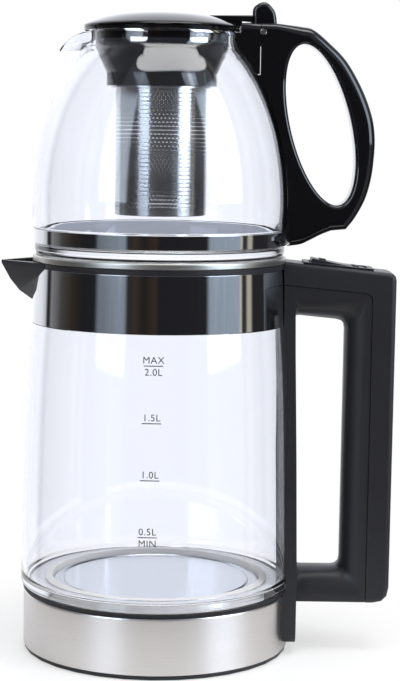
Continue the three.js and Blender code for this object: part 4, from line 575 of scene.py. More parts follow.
def make_seat_ring():
    outer, top = seat_high.y, seat_high.z
    bore, skirt, under = outer - SEAT_WIDTH, outer - SEAT_SHEET, top - SEAT_SHEET
    inside, edge = bore + SEAT_SHEET, top - SEAT_HEIGHT
    profile = [(bore, seat_low.z), (inside, seat_low.z), (inside, under), (skirt, under), (skirt, edge)]
    profile += [(outer, edge, SEAT_GAP), (outer, top, SEAT_ROUND), (bore, top, SEAT_ROUND)]
    return lathe("seat_ring_steel", rounded(profile))


def spout_outline(gap):
    """The corners of the collar's spout, grown by a gap."""
    flange = SPOUT_FLANGE_RADIUS
    reach = SPOUT_TIP_X - flange
    half_angle = math.radians(SPOUT_ROOT_DEG)
    root_width = SPOUT_ROOT_X * math.tan(half_angle) + gap / math.cos(half_angle)
    tip_x, tip_width = SPOUT_TIP_X + gap, SPOUT_TIP_HALF_WIDTH + gap
    foot = COLLAR_TOP_Z - SPOUT_DEPTH - gap
    tip_top = COLLAR_TOP_Z - SPOUT_TIP_DROP
    side = [(-SPOUT_ROOT_X, root_width, z) for z in (COLLAR_TOP_Z, FLANGE_FOOT_Z - SEAT_GAP)]
    side += [(-tip_x, tip_width, z) for z in (tip_top, tip_top - SPOUT_TIP_THICKNESS - gap)]
    for i, (out, down) in enumerate(SPOUT_BELLY_SHARES):
        z = COLLAR_TOP_Z - SPOUT_DEPTH * down - gap
        side.append((-(flange + reach * out + gap / 2), tip_width * (i + 2), z))
    return [(-SPOUT_ROOT_X, 0, foot), (-flange, 0, foot), *both_sides(side)]


def make_upper_band():
    """The band round the glass's neck, cut to the spout."""
    foot, top = neck_high.y, neck_high.y - BAND_NARROWING
    low, high = neck_low.z, neck_high.z
    corners = [(foot - BAND_SHEET, low), (foot, low), (top, high), (top - BAND_SHEET, high)]
    profile = rounded([(r, z, BAND_EDGE) for r, z in corners], 2)
    return carve(lathe("neck_band", profile), hull("cut", spout_outline(SEAT_GAP)))


# Level marks

MARK_LIFT = 0.06
MARK_HEIGHT = 3.7
MARK_LINE_LENGTH, MARK_LINE_HEIGHT = 10.2, 0.5
MARK_CAPITAL_SHARE = 0.72
MARK_SPACING = 1.08
MARK_CLEAR = 1.3
# Name, place across, height, the word over the line and the one under it
MARKS = [
    ("mark_20", -0.9, 168.5, "MAX", "2.0L"),
    ("mark_15", -1.6, 138.3, "1.5L", None),
    ("mark_10", -2.2, 108.1, "1.0L", None),
    ("mark_05", -3.1, 77.8, "0.5L", "MIN"),
]


def on_glass(across, z, out):
    """The point at a length round the glass's -Y side, at a height and a lift off it."""
    radius = glass_radius(z) + MARK_LIFT + out
    angle = across / radius
    return Vector((radius * math.sin(angle), -radius * math.cos(angle), z))


def make_words(name, words, x, z):
    """Lettering laid on the glass, centred at x, its foot at z."""
    curve = bpy.data.curves.new(name, "FONT")
    curve.body = words
    curve.align_x = "CENTER"
    curve.size = MARK_HEIGHT / MARK_CAPITAL_SHARE * MM
    curve.space_character = MARK_SPACING
    curve.extrude = MARK_LIFT / 3 * MM
    curve.resolution_u = 6
    made = link_object(name, curve)
    mesh = applied_mesh(made)
    bpy.data.objects.remove(made)
    for vertex in mesh.vertices:
        across, up, out = vertex.co / MM
        vertex.co = on_glass(x + across, z + up, out) * MM
    return welded(link_object(name, mesh))


def make_line(name, x, z):
    """A short level line laid on the glass."""
    steps, half = 12, MARK_LINE_HEIGHT / 2
    corners = [(-half, 0), (half, 0), (half, MARK_LIFT / 2), (-half, MARK_LIFT / 2)]
    across = [x + MARK_LINE_LENGTH * (k / steps - 0.5) for k in range(steps + 1)]
    return loft(name, [[on_glass(at, z + up, out) for up, out in corners] for at in across])


def make_marks():
    """Level marks half a litre apart: each has a line, a word over it and, on two, a word under it."""
    for name, x, z, above, below in MARKS:
        pieces = [make_line(name + "_line", x, z), make_words(name, above, x, z + MARK_CLEAR)]
        if below:
            pieces.append(make_words(name + "_below", below, x, z - MARK_CLEAR - MARK_HEIGHT))
        for piece in pieces:
            place(piece, "kettle", "black_rubber", print_ink)


def kettle():
    place(make_kettle_glass(), "kettle", "clear_glass", clear_glass, "kettle_glass")
    place(make_base_shell(), "kettle", "brushed_steel", brushed, "base_shell")
    bead, reflection_ring = make_seal()
    place(bead, "kettle", "black_rubber", rubber, "base_seal")
    # The pale ring under the glass foot paints in the reflection seen through the foot
    place(reflection_ring, "kettle", "pale_silicone", pale_rubber, "base_seal")
    place(make_seat_ring(), "kettle", "polished_steel", seat_steel, "seat_ring")
    place(make_upper_band(), "kettle", "polished_steel", polished, "upper_band")
    finishes = {
        "bottom_cover connector_housing": satin_black,
        "connector_pin connector_ring": brass,
        "control_unit base_chassis micro_switch": grey_plastic,
        "heating_element leg_screw rim_screw cover_screw_1 cover_screw_2 cover_screw_3": satin_steel,
        "heater_plate": heater_steel,
        "heat_spreader": aluminium,
        "plate_seal": pale_rubber,
        "glass_gasket": rubber,
    }
    for names, look in finishes.items():
        for name in names.split():
            dress(name, look)
    dress("rim_collar", satin_black, angle=32, bevel=0.4)
    dress("handle_frame", satin_black, angle=50)
    dress("handle_cover", satin_black, angle=50)
    dress("switch_bezel", satin_black, bevel=0.3)
    dress("switch_rocker", satin_black, bevel=0.4)
    make_marks()


# Teapot

POT_RIM_Z = pot_high.z
POT_NECK_Z = POT_RIM_Z - POT_NECK_HEIGHT
HINGE_X, HINGE_Z = POT_NECK_RADIUS + HINGE_OUT, POT_RIM_Z + HINGE_RISE


def dome_line(steps, gap=0.0):
    """The pot's dome from its belly to its neck, grown by a gap, as (radius, z)."""
    top = math.asin((POT_NECK_Z - POT_BELLY_Z) / POT_DOME_HEIGHT)
    turn = [top * i / steps for i in range(steps + 1)]
    radius, height = POT_BELLY_RADIUS + gap, POT_DOME_HEIGHT + gap
    return [(radius * math.cos(angle), POT_BELLY_Z + height * math.sin(angle)) for angle in turn]


def pot_middle():
    """The middle line of the pot's wall from its belly to its rim, as (radius, z)."""
    half, neck_steps = POT_WALL / 2, 4
    neck_radius = POT_NECK_RADIUS - half
    dome = [(radius - half, z) for radius, z in dome_line(44)[:-1]]
    near = [point for point in dome if point[1] < POT_NECK_Z - 2 * POT_NECK_ROUND]
    corner = [near[-1], (neck_radius, POT_NECK_Z, POT_NECK_ROUND), (neck_radius, POT_RIM_Z - half)]
    bend = rounded(corner, 10, closed=False)
    rise = (POT_RIM_Z - half - bend[-2][1]) / neck_steps
    neck = [(neck_radius, bend[-2][1] + rise * i) for i in range(1, neck_steps + 1)]
    return [*near[:-1], *bend[:-1], *neck]


def drawn_lip(point):
    """Where a point of the wall lies once the rim is drawn out to the lip, and how far out that is."""
    foot = POT_RIM_Z - LIP_ROOT_DEPTH
    if point.z < foot or point.x > 0:
        return point, 0.0
    across = 1 - min(1.0, abs(point.y) / LIP_HALF_WIDTH) ** 2
    out = across**LIP_WIDTH_POWER
    up = min(1.0, (point.z - foot) / (POT_RIM_Z - POT_WALL / 2 - foot))
    drawn = up * up * (3 - 2 * up)
    edge = LIP_EDGE_SHARE * min(1.0, out / LIP_EDGE_REACH)
    fall = LIP_DROP * (edge + LIP_FALL_SHARE * out**LIP_FALL_POWER) * up**LIP_RISE_POWER
    return Vector((point.x - LIP_OUT * out * drawn, point.y, point.z - fall)), out * drawn


def pot_foot():
    """The pot's outside from the middle of its foot up to its belly, as (radius, z)."""
    foot_z, band_z, band_top = pot_low.z, foot_band_low.z, foot_band_high.z
    band = foot_band_high.y
    punt, foot_radius, groove = band - POT_PUNT_IN, band - POT_FOOT_IN, band - POT_GROOVE_IN
    foot = [
        (0, foot_z + POT_PUNT),
        (punt, foot_z + POT_PUNT, POT_PUNT_ROUND),
        (punt + POT_PUNT_SLOPE, foot_z, POT_RING_ROUND),
        (foot_radius, foot_z, POT_FOOT_ROUND),
        (foot_radius, band_z - SEAT_GAP),
    ]
    shoulder = [
        (groove, band_z - SEAT_GAP),
        (groove, band_top + SEAT_GAP),
        (band, band_top + POT_SHOULDER_RISE, POT_SHOULDER_ROUND),
        (band + POT_FLANK_OUT, band_top + POT_FLANK_RISE, POT_FLANK_ROUND),
        (POT_BELLY_RADIUS, POT_BELLY_Z - POT_BELLY_DROP),
    ]
    return [*rounded(foot, 5, closed=False), *rounded(shoulder, 3, closed=False)]


def pot_bowl():
    """The pot's inside from its belly down to the middle of its floor, as (radius, z)."""
    floor_z = pot_low.z + POT_FLOOR
    radius = POT_BELLY_RADIUS - POT_WALL
    bowl = [
        (radius, POT_BELLY_Z - POT_INNER_DROP),
        (radius - POT_BOWL_SIDE_IN, floor_z + POT_BOWL_SIDE_RISE, POT_BOWL_SIDE_ROUND),
        (radius - POT_BOWL_FOOT_IN, floor_z, POT_BOWL_FOOT_ROUND),
        (foot_band_high.y - POT_PUNT_IN - POT_BOWL_FLAT_IN, floor_z, POT_BOWL_FLAT_ROUND),
        (0, floor_z - POT_BOWL_DISH),
    ]
    return rounded(bowl, 6, closed=False)


def make_teapot_glass():
    """The pot in one piece, with each slice's wall set square to the drawn lip."""
    middle, foot, bowl = pot_middle(), pot_foot(), pot_bowl()
    rim_steps = 6

    def surface(k, i):
        radius, z = middle[i]
        return drawn_lip(Vector((*polar(radius, 2 * math.pi * k / POT_SLICES), z)))

    def directions(k, i):
        """The wall's outward normal at a slice and a station, and its way up."""
        up = surface(k, min(i + 1, len(middle) - 1))[0] - surface(k, max(i - 1, 0))[0]
        along = surface(k + 1, i)[0] - surface(k - 1, i)[0]
        return along.cross(up).normalized(), up.normalized()

    def slice_line(k):
        """The whole outline of a slice, from under the foot over the rim to the floor."""
        angle = 2 * math.pi * k / POT_SLICES
        outer, inner = [], []
        for i in range(1, len(middle)):
            (at, drawn), (normal, up) = surface(k, i), directions(k, i)
            half = POT_WALL / 2 * (1 - LIP_THINNING * drawn)
            outer.append(at + normal * half)
            inner.append(at - normal * half)
        turn = [math.pi * j / rim_steps for j in range(1, rim_steps)]
        rim = [at + (normal * math.cos(t) + up * math.sin(t)) * half for t in turn]
        outside, inside = [[Vector((*polar(r, angle), z)) for r, z in line] for line in (foot, bowl)]
        return [*outside, *outer, *rim, *reversed(inner), *inside]

    slices = [slice_line(k) for k in range(POT_SLICES)]
    return turned("teapot_glass", slices, range(len(slices[0]) - 1))


def make_foot_band():
    """The band round the pot's foot, polished outside; inside, a pale non-metal grey that paints in the
    brushed back's bright reflections.
    """
    outer, foot, top = foot_band_high.y, foot_band_low.z, foot_band_high.z
    inner = outer - FOOT_BAND_SHEET
    profile = [(inner, foot), (outer, foot, FOOT_BAND_EDGE), (outer, top, FOOT_BAND_EDGE), (inner, top)]
    made = place(lathe("foot_band", rounded(profile)), "teapot", "polished_steel", polished, "pot_band")
    # The inner faces take the pale grey that paints in the back's reflections
    made.data.materials.append(band_back_painted_reflection)
    for face in made.data.polygons:
        middle = Vector((face.center.x, face.center.y, 0))
        face.material_index = int(middle.length / MM < inner + FOOT_BAND_SKIN)
    return made


def beside_pot(out, share):
    """A place on the handle, from how far out it lies and its share of the pot's height."""
    line = POT_BELLY_RADIUS + share * (POT_NECK_RADIUS - POT_BELLY_RADIUS)
    return Vector((line + out, pot_low.z + share * (POT_RIM_Z - pot_low.z)))


def curve_through(points):
    """A smooth line through points."""
    steps = 5
    ends = [2 * points[0] - points[1], *points, 2 * points[-1] - points[-2]]
    line = []
    for a, b, c, d in zip(ends, ends[1:], ends[2:], ends[3:]):
        for k in range(steps):
            t = k / steps
            bend, twist = 2 * a - 5 * b + 4 * c - d, 3 * b - a - 3 * c + d
            line.append((2 * b + (c - a) * t + bend * t**2 + twist * t**3) / 2)
    return [*line, points[-1]]


def inset(outline, depths):
    """A closed outline moved inward by a depth at each point, its corners mitred."""
    moved = []
    for i, (at, depth) in enumerate(zip(outline, depths)):
        before = (at - outline[i - 1]).normalized()
        after = (outline[(i + 1) % len(outline)] - at).normalized()
        along = (before + after).normalized()
        inward = Vector((along.y, -along.x))
        moved.append(at + inward * depth / max(0.5, before.dot(along)))
    return moved


def rounding(steps=5):
    """Steps of a rounded edge, as (how far across, how far in), both shares of its size."""
    turn = [math.pi / 2 * k / steps for k in range(steps + 1)]
    return [(math.sin(angle), 1 - math.cos(angle)) for angle in turn]


def rounded_plate(name, outline, half_width, edges):
    """A plate across Y from an outline in X and Z, its edge rounded by a size at each point."""
    loops = []
    for across, into in rounding(7):
        line = inset(outline, [edge * into for edge in edges])
        loops.append([(p.x, half_width - edge + edge * across, p.y) for p, edge in zip(line, edges)])
    far_side = [[(x, -y, z) for x, y, z in loop] for loop in reversed(loops)]
    return loft(name, [*far_side, *loops])


def bar(name, line, half_width):
    """A straight bar across Y, from an outline of (x, z)."""
    return loft(name, [[(x, y, z) for x, z in line] for y in (-half_width, half_width)])


def make_finger_hole():
    """What cuts the oval finger hole, flared to round its edge on both sides."""
    flat = GRIP_HALF_WIDTH - GRIP_EDGE
    levels = [(flat + GRIP_EDGE * across, GRIP_EDGE * into) for across, into in rounding()]
    levels.append((GRIP_HALF_WIDTH + CUT_OVERRUN, GRIP_EDGE * FINGER_HOLE_FLARE_SHARE))
    levels = [(-y, grow) for y, grow in reversed(levels)] + levels
    (out, share), (half_out, half_share) = FINGER_HOLE_CENTRE, FINGER_HOLE_SIZE
    loops = []
    for y, grow in levels:
        loop = []
        for angle in turns(HOLE_SLICES):
            across = (half_out + grow) * math.cos(angle)
            up = (half_share + grow / (POT_RIM_Z - pot_low.z)) * math.sin(angle)
            at = beside_pot(out + across + FINGER_HOLE_LEAN * up, share + up)
            loop.append((at.x, y, at.y))
        loops.append(loop)
    return loft("finger_hole", loops)


def make_saddle():
    """The pad at the handle's foot that reaches round the pot on its band."""
    foot = foot_band_low.z + SEAT_GAP
    low, high, wide = foot, foot + SADDLE_HEIGHT, SADDLE_HALF_WIDTH
    shoulder = foot + SADDLE_HEIGHT * SADDLE_SHOULDER_SHARE
    heights = (low, low + SADDLE_CHAMFER, shoulder - SADDLE_CHAMFER, shoulder + SADDLE_CHAMFER)
    side = [(wide * share, z) for share, z in zip(SADDLE_WIDTH_SHARES, heights)]
    side.append((GRIP_HALF_WIDTH, high))
    outline = [*side, *[(-y, z) for y, z in reversed(side)]]
    outer = POT_BELLY_RADIUS + SADDLE_WALL
    pad = loft("pad", [[(x, y, z) for y, z in outline] for x in (SADDLE_START, outer + SADDLE_WALL)])
    top_round = SADDLE_WALL * SADDLE_TOP_ROUND_SHARE
    profile = [(POT_NECK_RADIUS, low), (outer, low, SADDLE_WALL), (outer, high, top_round)]
    profile.append((POT_NECK_RADIUS, high))
    return carve(pad, lathe("shell", rounded(profile), SADDLE_SLICES), operation="INTERSECT")


def pot_form(gap):
    """The pot's outside grown by a gap, to cut the handle to it."""
    band = foot_band_high.y + gap
    below, above = pot_low.z - POT_FORM_BELOW, POT_RIM_Z + POT_FORM_ABOVE
    profile = [(0, below), (band, below), (band, foot_band_high.z), *dome_line(40, gap)]
    profile += [(POT_NECK_RADIUS + gap, above), (0, above)]
    return lathe("pot_form", profile)


def hinge_bar(name, radius, half_width):
    """A round bar on the lid's hinge line."""
    line = [(HINGE_X + x, HINGE_Z + z) for x, z in (polar(radius, angle) for angle in turns(BAR_SLICES))]
    return bar(name, line, half_width)


def make_lever():
    """The lid's thumb lever: a rounded fin on a knuckle that turns on the hinge pin."""
    hinge = Vector((HINGE_X, HINGE_Z))
    front = [(-LEVER_FACE_IN, 0), (-LEVER_FACE_IN, LEVER_KNUCKLE)]
    fin = curve_through([Vector(p) for p in [front[1], *LEVER_FIN]])
    rear = Vector((LEVER_KNUCKLE * LEVER_REAR_SHARE, 0))
    outline = [hinge + p for p in [Vector(front[0]), *fin, rear]]
    made = rounded_plate("thumb_lever", outline, LEVER_HALF_WIDTH, [LEVER_EDGE] * len(outline))
    carve(made, hinge_bar("knuckle", LEVER_KNUCKLE, LEVER_HALF_WIDTH), operation="UNION")
    return carve(made, hinge_bar("lever_bore", HINGE_BORE, LEVER_HALF_WIDTH + CUT_OVERRUN))


def grip_outline():
    """The handle seen from the side: its top, back, foot and the edge inside the pot."""
    top = POT_RIM_Z + GRIP_TOP_RISE
    front = [Vector((POT_NECK_RADIUS, top)), Vector((HINGE_X + GRIP_RAMP_OUT, top))]
    back, foot = [curve_through([beside_pot(*p) for p in line]) for line in (GRIP_BACK, GRIP_FOOT)]
    inside = [Vector((POT_BELLY_RADIUS - SADDLE_HEIGHT, foot_band_low.z))]
    inside.append(Vector((POT_NECK_RADIUS, POT_NECK_Z - POT_WALL)))
    return [*front, *back, *foot, *inside]


def make_grip():
    """The teapot's handle, with rounded edges, cut to the pot, the finger hole and the lever's slot."""
    outline = grip_outline()
    grown = [min(1, max(0, (p.x - HINGE_X) / GRIP_SHOULDER_REACH)) for p in outline]
    edges = [GRIP_EDGE + (GRIP_SHOULDER - GRIP_EDGE) * share for share in grown]
    made = rounded_plate("teapot_grip", outline, GRIP_HALF_WIDTH, edges)
    carve(made, make_saddle(), operation="UNION")
    slot = bar("slot", [(HINGE_X + x, HINGE_Z + z) for x, z in LEVER_SLOT], LEVER_SLOT_HALF_WIDTH)
    bore = hinge_bar("bore", HINGE_BORE, GRIP_HALF_WIDTH + CUT_OVERRUN)
    seam, low = HINGE_X - GRIP_SEAM_IN, POT_RIM_Z - GRIP_SEAM_DROP
    high = POT_RIM_Z + GRIP_TOP_RISE + GRIP_SEAM_DROP
    block = bar("block", [(0, low), (seam, low), (seam, high), (0, high)], SADDLE_HALF_WIDTH)
    return carve(made, pot_form(SEAT_GAP), make_finger_hole(), slot, bore, block)


def teapot():
    place(make_teapot_glass(), "teapot", "clear_glass", clear_glass, "pot_glass")
    make_foot_band()
    dress("neck_clip", polished)
    dress("hinge_block", gloss_black, angle=50)
    place(make_grip(), "teapot", "gloss_black", gloss_black, "pot_handle", angle=40)
    dress("hinge_pin", satin_steel)


# Lid and infuser

LID_RIM_Z = lid_low.z + LID_TRIM_HEIGHT
LID_RADIUS = trim_high.y


def dome_z(r):
    """The height of the lid's dome at a radius."""
    return LID_RIM_Z + LID_DOME_RISE * (1 - (r / LID_RADIUS) ** LID_DOME_POWER)


def make_lid():
    """The domed lid with the arm that runs to its lever."""
    foot, steps, cavity_steps = lid_low.z, 24, 12
    edge = LID_RADIUS - LID_DOME_IN
    outside = [(r, dome_z(r)) for r in [edge * (1 - i / steps) for i in range(steps + 1)]]
    radii = [LID_CAVITY_RADIUS * i / cavity_steps for i in range(cavity_steps + 1)]
    cavity = [(r, dome_z(r) - LID_SHEET) for r in radii]
    rim = [(LID_RADIUS - LID_LEAN, foot), (LID_RADIUS, LID_RIM_Z - LID_SIDE_DROP)]
    made = lathe("lid_dome", [*rim, *outside, *cavity, (LID_CAVITY_RADIUS, foot)])
    start, end = LID_ARM_START, LID_ARM_END
    start_z = dome_z(start)
    low, high = POT_RIM_Z + LID_ARM_FOOT, POT_RIM_Z + LID_ARM_TOP
    wide, narrow = LID_ARM_HALF_WIDTH, LID_ARM_HALF_WIDTH - LID_ARM_CHAMFER
    arm = [(start, wide, start_z - LID_SHEET), (start, wide, start_z - LID_ARM_SINK)]
    arm += [(start, narrow, start_z + LID_ARM_STEP), (end, wide, low)]
    arm += [(end, wide, high - LID_ARM_CHAMFER), (end, narrow, high)]
    web_end, web_wide = LID_RADIUS + LID_WEB_REACH, LID_WEB_HALF_WIDTH
    web = [(start, web_wide, z) for z in (start_z - LID_SHEET, start_z - LID_SHEET / 2)]
    web += [(web_end, web_wide, z) for z in (LID_RIM_Z, low + LID_SHEET / 2)]
    return carve(made, hull("arm", both_sides(arm)), hull("web", both_sides(web)), operation="UNION")


def make_trim():
    """The ring under the lid's edge."""
    foot, top, inner = trim_low.z, trim_high.z, LID_RADIUS - TRIM_SHEET
    side = [(LID_RADIUS - LID_LEAN, foot, TRIM_EDGE), (LID_RADIUS - TRIM_TOP_IN, top)]
    return lathe("lid_trim", rounded([(inner, foot), *side, (inner, top)]))


def hole_cell(angle, z, half_angle):
    """One cell of the tube's wall: a round hole in the middle of a near-square of sheet."""
    sides = 6
    inner, outer = [], []
    for k in range(sides):
        turn = 2 * math.pi * (k + 0.5) / sides
        c, s = polar(1, turn)
        size = max(abs(c), abs(s))
        inner.append((angle + TUBE_HOLE_RADIUS * c / TUBE_RADIUS, z + TUBE_HOLE_RADIUS * s))
        outer.append((angle + half_angle * c / size, z + TUBE_HOLE_PITCH / 2 * s / size))
    return inner, outer


def make_tube_wall(foot):
    """The tube's perforated wall, cell by cell, through its whole thickness."""
    half_angle = math.pi / TUBE_HOLES_ROUND
    points, faces = [], []
    for row in range(TUBE_HOLE_ROWS):
        z = foot + TUBE_HOLE_PITCH * (row + 0.5)
        for column in range(TUBE_HOLES_ROUND):
            inner, outer = hole_cell(half_angle * (2 * column + row % 2), z, half_angle)
            start, count = len(points), len(inner)
            for radius in (TUBE_RADIUS, TUBE_RADIUS - TUBE_SHEET):
                points += [(*polar(radius, angle), height) for angle, height in [*inner, *outer]]
            for k in range(count):
                j = (k + 1) % count
                a, b, c, d = start + k, start + j, start + count + k, start + count + j
                back = 2 * count
                faces += [[a, b, d, c], [a + back, c + back, d + back, b + back], [a, a + back, b + back, b]]
    return welded(mesh_object("tube_wall", points, faces))


def make_tube():
    """The tube in three pieces: a plain foot, the perforated wall and a top with its flange."""
    inner, outer = TUBE_RADIUS - TUBE_SHEET, TUBE_RADIUS
    foot, top = tube_low.z, tube_high.z
    flange, ledge = tube_high.y, top - TUBE_SHEET
    low = foot + TUBE_PLAIN_FOOT
    high = low + TUBE_HOLE_PITCH * TUBE_HOLE_ROWS
    ring = [(inner, foot), (outer, foot, TUBE_FOOT_ROUND), (outer, low), (inner, low)]
    lower, wall = lathe("tube_foot", rounded(ring), TUBE_SLICES), make_tube_wall(low)
    neck = [(inner, high), (outer, high), (outer, ledge, TUBE_FLANGE_ROUND)]
    upper = lathe("tube_top", rounded([*neck, (flange, ledge), (flange, top), (inner, top)]), TUBE_SLICES)
    return lower, wall, upper


def lid_and_infuser():
    place(make_lid(), "lid", "gloss_black", gloss_black, "lid_shell")
    place(make_trim(), "lid", "gloss_black", gloss_black, "lid_rim")
    dress("lid_liner", gloss_black)
    place(make_lever(), "lid", "gloss_black", gloss_black, "lid_lever", angle=40)
    dress("infuser_collar", gloss_black, angle=18, bevel=0.2)
    for piece in make_tube():
        place(piece, "infuser", "satin_steel", satin_steel, "infuser_tube")
    dress("infuser_base", satin_steel)


# Stage, with its sizes in metres and the camera's angles in degrees

FLOOR_RADIUS = 0.24
FLOOR_DROP = 0.0002
FLOOR_COLOUR, FLOOR_ROUGHNESS = (0.9, 0.9, 0.9), 0.6
FLOOR_WHITE_NEAR, FLOOR_FADE_FROM, FLOOR_FADE_FULL = 0.5, 0.09, 0.2
CAMERA_PLACE, CAMERA_LENS = (0.0232, -1.0193, 0.2928), 96.6
CAMERA_TILT, CAMERA_ROLL = 83.35, 0.84


def make_floor():
    """A pale floor that keeps the shadow near the object and turns white to the eye further out."""
    points = [(*polar(FLOOR_RADIUS / MM, angle), 0) for angle in turns(FLOOR_SLICES)]
    made = mesh_object("floor", points, [range(FLOOR_SLICES)])
    made.location.z = -FLOOR_DROP
    look, tree, shader = new_look("floor", FLOOR_COLOUR, 0.0, FLOOR_ROUGHNESS)
    point = {0: add(tree, "ShaderNodeTexCoord").outputs["Object"]}
    length = add(tree, "ShaderNodeVectorMath", point, operation="LENGTH").outputs["Value"]
    far = spread(tree, length, FLOOR_WHITE_NEAR, 1.0, FLOOR_FADE_FROM, FLOOR_FADE_FULL, "SMOOTHSTEP")
    path = add(tree, "ShaderNodeLightPath").outputs
    seen = calculate(tree, "MAXIMUM", path["Is Camera Ray"], path["Is Transmission Ray"])
    strength = spread(tree, path["Is Transmission Ray"], 1, BACKDROP_THROUGH_GLASS)
    white = add(tree, "ShaderNodeEmission", {"Strength": strength}).outputs[0]
    both = mix_shaders(tree, calculate(tree, "MULTIPLY", seen, far), shader.outputs[0], white)
    feed(tree.nodes["Material Output"], {"Surface": both})
    made.data.materials.append(look)


# What stands round the studio: degrees from -Y towards +X, the colour there, and where the soft boxes are
STUDIO = [
    (-180, (0.97, 0.98, 1.02), 0),
    (-130, (0.8, 0.81, 0.85), 0),
    (-122, (0.5, 0.51, 0.55), 0),
    (-119, (0.02, 0.02, 0.02), 0),
    (-115, (0.02, 0.02, 0.02), 0),
    (-112, (0.22, 0.22, 0.23), 0),
    (-97, (0.06, 0.058, 0.055), 0),
    (-84, (0.03, 0.024, 0.02), 0),
    (-72, (0.014, 0.014, 0.016), 0),
    (-58, (0.014, 0.015, 0.018), 0),
    (-54.5, (0.15, 0.17, 0.2), 1),
    (-30, (0.24, 0.28, 0.33), 1),
    (-27, (0.025, 0.025, 0.025), 0),
    (-19, (0.04, 0.028, 0.022), 0),
    (-13, (0.014, 0.014, 0.014), 0),
    (-2, (0.04, 0.026, 0.02), 0),
    (1, (0.014, 0.014, 0.016), 0),
    (44, (0.016, 0.016, 0.02), 0),
    (47, (0.28, 0.33, 0.39), 1),
    (77, (0.3, 0.35, 0.42), 1),
    (79.5, (0.6, 0.57, 0.48), 0),
    (81.5, (0.03, 0.03, 0.03), 0),
    (85.5, (0.03, 0.03, 0.03), 0),
    (87.5, (0.45, 0.42, 0.35), 0),
    (91.5, (0.42, 0.39, 0.32), 0),
    (93.5, (0.02, 0.02, 0.022), 0),
    (113, (0.02, 0.02, 0.022), 0),
    (118, (0.05, 0.05, 0.055), 0),
    (140, (0.06, 0.06, 0.065), 0),
    (150, (0.75, 0.76, 0.8), 0),
    (180, (0.97, 0.98, 1.02), 0),
]
BOX_FOOT, BOX_FULL = -0.013, 0.008  # how far up a look points where the soft boxes begin, and are full
BOX_TOP, BOX_END = 0.68, 0.74
BOX_GAIN_IN_GLOSS, BOX_GAIN_THROUGH_GLASS = 12, 13
PANEL_FROM, PANEL_FULL = 0.12, 0.26
PANEL = (0.27, 0.285, 0.33)
CEILING_FROM, CEILING_FULL = 0.84, 0.96
CEILING = (0.1, 0.1, 0.11)
BACKDROP_IN_GLOSS = 1.3
BACKDROP_THROUGH_GLASS = 1.12
BACKDROP_TINT = (0.97, 0.98, 1.02)
FILL_LIGHT = 0.75


def make_studio_colour(tree, through):
    """The colour of the studio by direction, for what is mirrored in the open or behind glass."""
    split = add(tree, "ShaderNodeSeparateXYZ", {0: add(tree, "ShaderNodeTexCoord").outputs["Generated"]})
    front = calculate(tree, "MULTIPLY", split.outputs["Y"], -1)
    azimuth = calculate(tree, "ARCTAN2", split.outputs["X"], front)
    height = split.outputs["Z"]
    ramp = add(tree, "ShaderNodeValToRGB", {"Fac": spread(tree, azimuth, 0, 1, -math.pi, math.pi)})
    elements = ramp.color_ramp.elements
    for degrees, _, _ in STUDIO[1:-1]:
        elements.new((degrees + 180) / 360)
    for element, (_, colour, box) in zip(elements, STUDIO):
        element.color = (*colour, box)
    rising = spread(tree, height, 0, 1, BOX_FOOT, BOX_FULL)
    within = calculate(tree, "MULTIPLY", rising, spread(tree, height, 1, 0, BOX_TOP, BOX_END))
    boxes = calculate(tree, "MULTIPLY", ramp.outputs["Alpha"], within)
    gain = spread(tree, through, BOX_GAIN_IN_GLOSS, BOX_GAIN_THROUGH_GLASS)
    held = calculate(tree, "MULTIPLY", boxes, calculate(tree, "SUBTRACT", gain, 1))
    lit = {0: ramp.outputs["Color"], "Scale": calculate(tree, "ADD", held, 1)}
    gained = add(tree, "ShaderNodeVectorMath", lit, operation="SCALE").outputs["Vector"]
    raised = spread(tree, height, 0, 1, PANEL_FROM, PANEL_FULL, "SMOOTHSTEP")
    in_gloss = calculate(tree, "MULTIPLY", raised, spread(tree, through, 1, 0))
    panel = mix_colours(tree, in_gloss, gained, (*PANEL, 1), "ADD")
    high = spread(tree, height, 0, 1, CEILING_FROM, CEILING_FULL, "SMOOTHSTEP")
    return mix_colours(tree, high, panel, (*CEILING, 1))


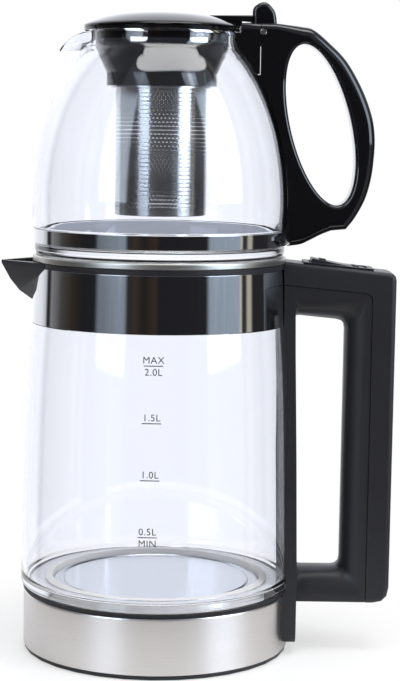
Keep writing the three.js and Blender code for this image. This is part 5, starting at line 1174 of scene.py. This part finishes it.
def make_world():
    """White to the camera and as light, near white straight through glass, the studio in reflections."""
    world = bpy.data.worlds.new("studio")
    bpy.context.scene.world = world
    world.use_nodes = True
    tree = world.node_tree
    tree.nodes.clear()
    path = add(tree, "ShaderNodeLightPath").outputs
    through = path["Is Transmission Ray"]
    mirrored = calculate(tree, "GREATER_THAN", path["Glossy Depth"], 0.5)
    shown = mix_colours(tree, mirrored, (*BACKDROP_TINT, 1), make_studio_colour(tree, through))
    strength = spread(tree, through, BACKDROP_IN_GLOSS, BACKDROP_THROUGH_GLASS)
    studio = add(tree, "ShaderNodeBackground", {"Color": shown, "Strength": strength}).outputs[0]
    fill = spread(tree, path["Is Camera Ray"], FILL_LIGHT, 1)
    plain = add(tree, "ShaderNodeBackground", {"Color": (1, 1, 1, 1), "Strength": fill}).outputs[0]
    seen = calculate(tree, "MAXIMUM", path["Is Glossy Ray"], through)
    add(tree, "ShaderNodeOutputWorld", {"Surface": mix_shaders(tree, seen, plain, studio)})


def stand(name, data, where, rotation):
    """A lamp or camera at a place in metres."""
    made = link_object(name, data)
    made.location = where
    made.rotation_mode = "QUATERNION"
    made.rotation_quaternion = rotation
    return made


def soft_light(name, where, target, width, height, watts, turn=0.0, in_gloss=True):
    """An oval lamp that faces a target, turned by degrees about its own axis."""
    sizes = {"shape": "ELLIPSE", "size": width, "size_y": height, "energy": watts}
    facing = (Vector(target) - Vector(where)).to_track_quat("-Z", "Y")
    rotation = facing @ Quaternion((0, 0, 1), math.radians(turn))
    made = stand(name, set_values(bpy.data.lights.new(name, "AREA"), sizes), where, rotation)
    made.visible_glossy = in_gloss


def make_camera():
    view = bpy.data.cameras.new("camera")
    set_values(view, {"sensor_width": 36, "lens": CAMERA_LENS, "clip_start": 0.01, "clip_end": 20})
    tilt = Matrix.Rotation(math.radians(CAMERA_TILT), 4, "X")
    roll = Matrix.Rotation(math.radians(CAMERA_ROLL), 4, "Z")
    bpy.context.scene.camera = stand("camera", view, CAMERA_PLACE, (tilt @ roll).to_quaternion())


make_camera()
make_floor()
make_world()
soft_light("over_front", (0.14, -0.235, 1.15), (0.14, -0.234, 0), width=1.0, height=0.44, watts=6, turn=14)
soft_light("side_right", (0.95, -0.5, 0.6), (0.05, 0, 0.2), width=0.35, height=0.7, watts=4, in_gloss=False)
kettle()
teapot()
lid_and_infuser()

bpy.context.scene.view_settings.view_transform = "Standard"
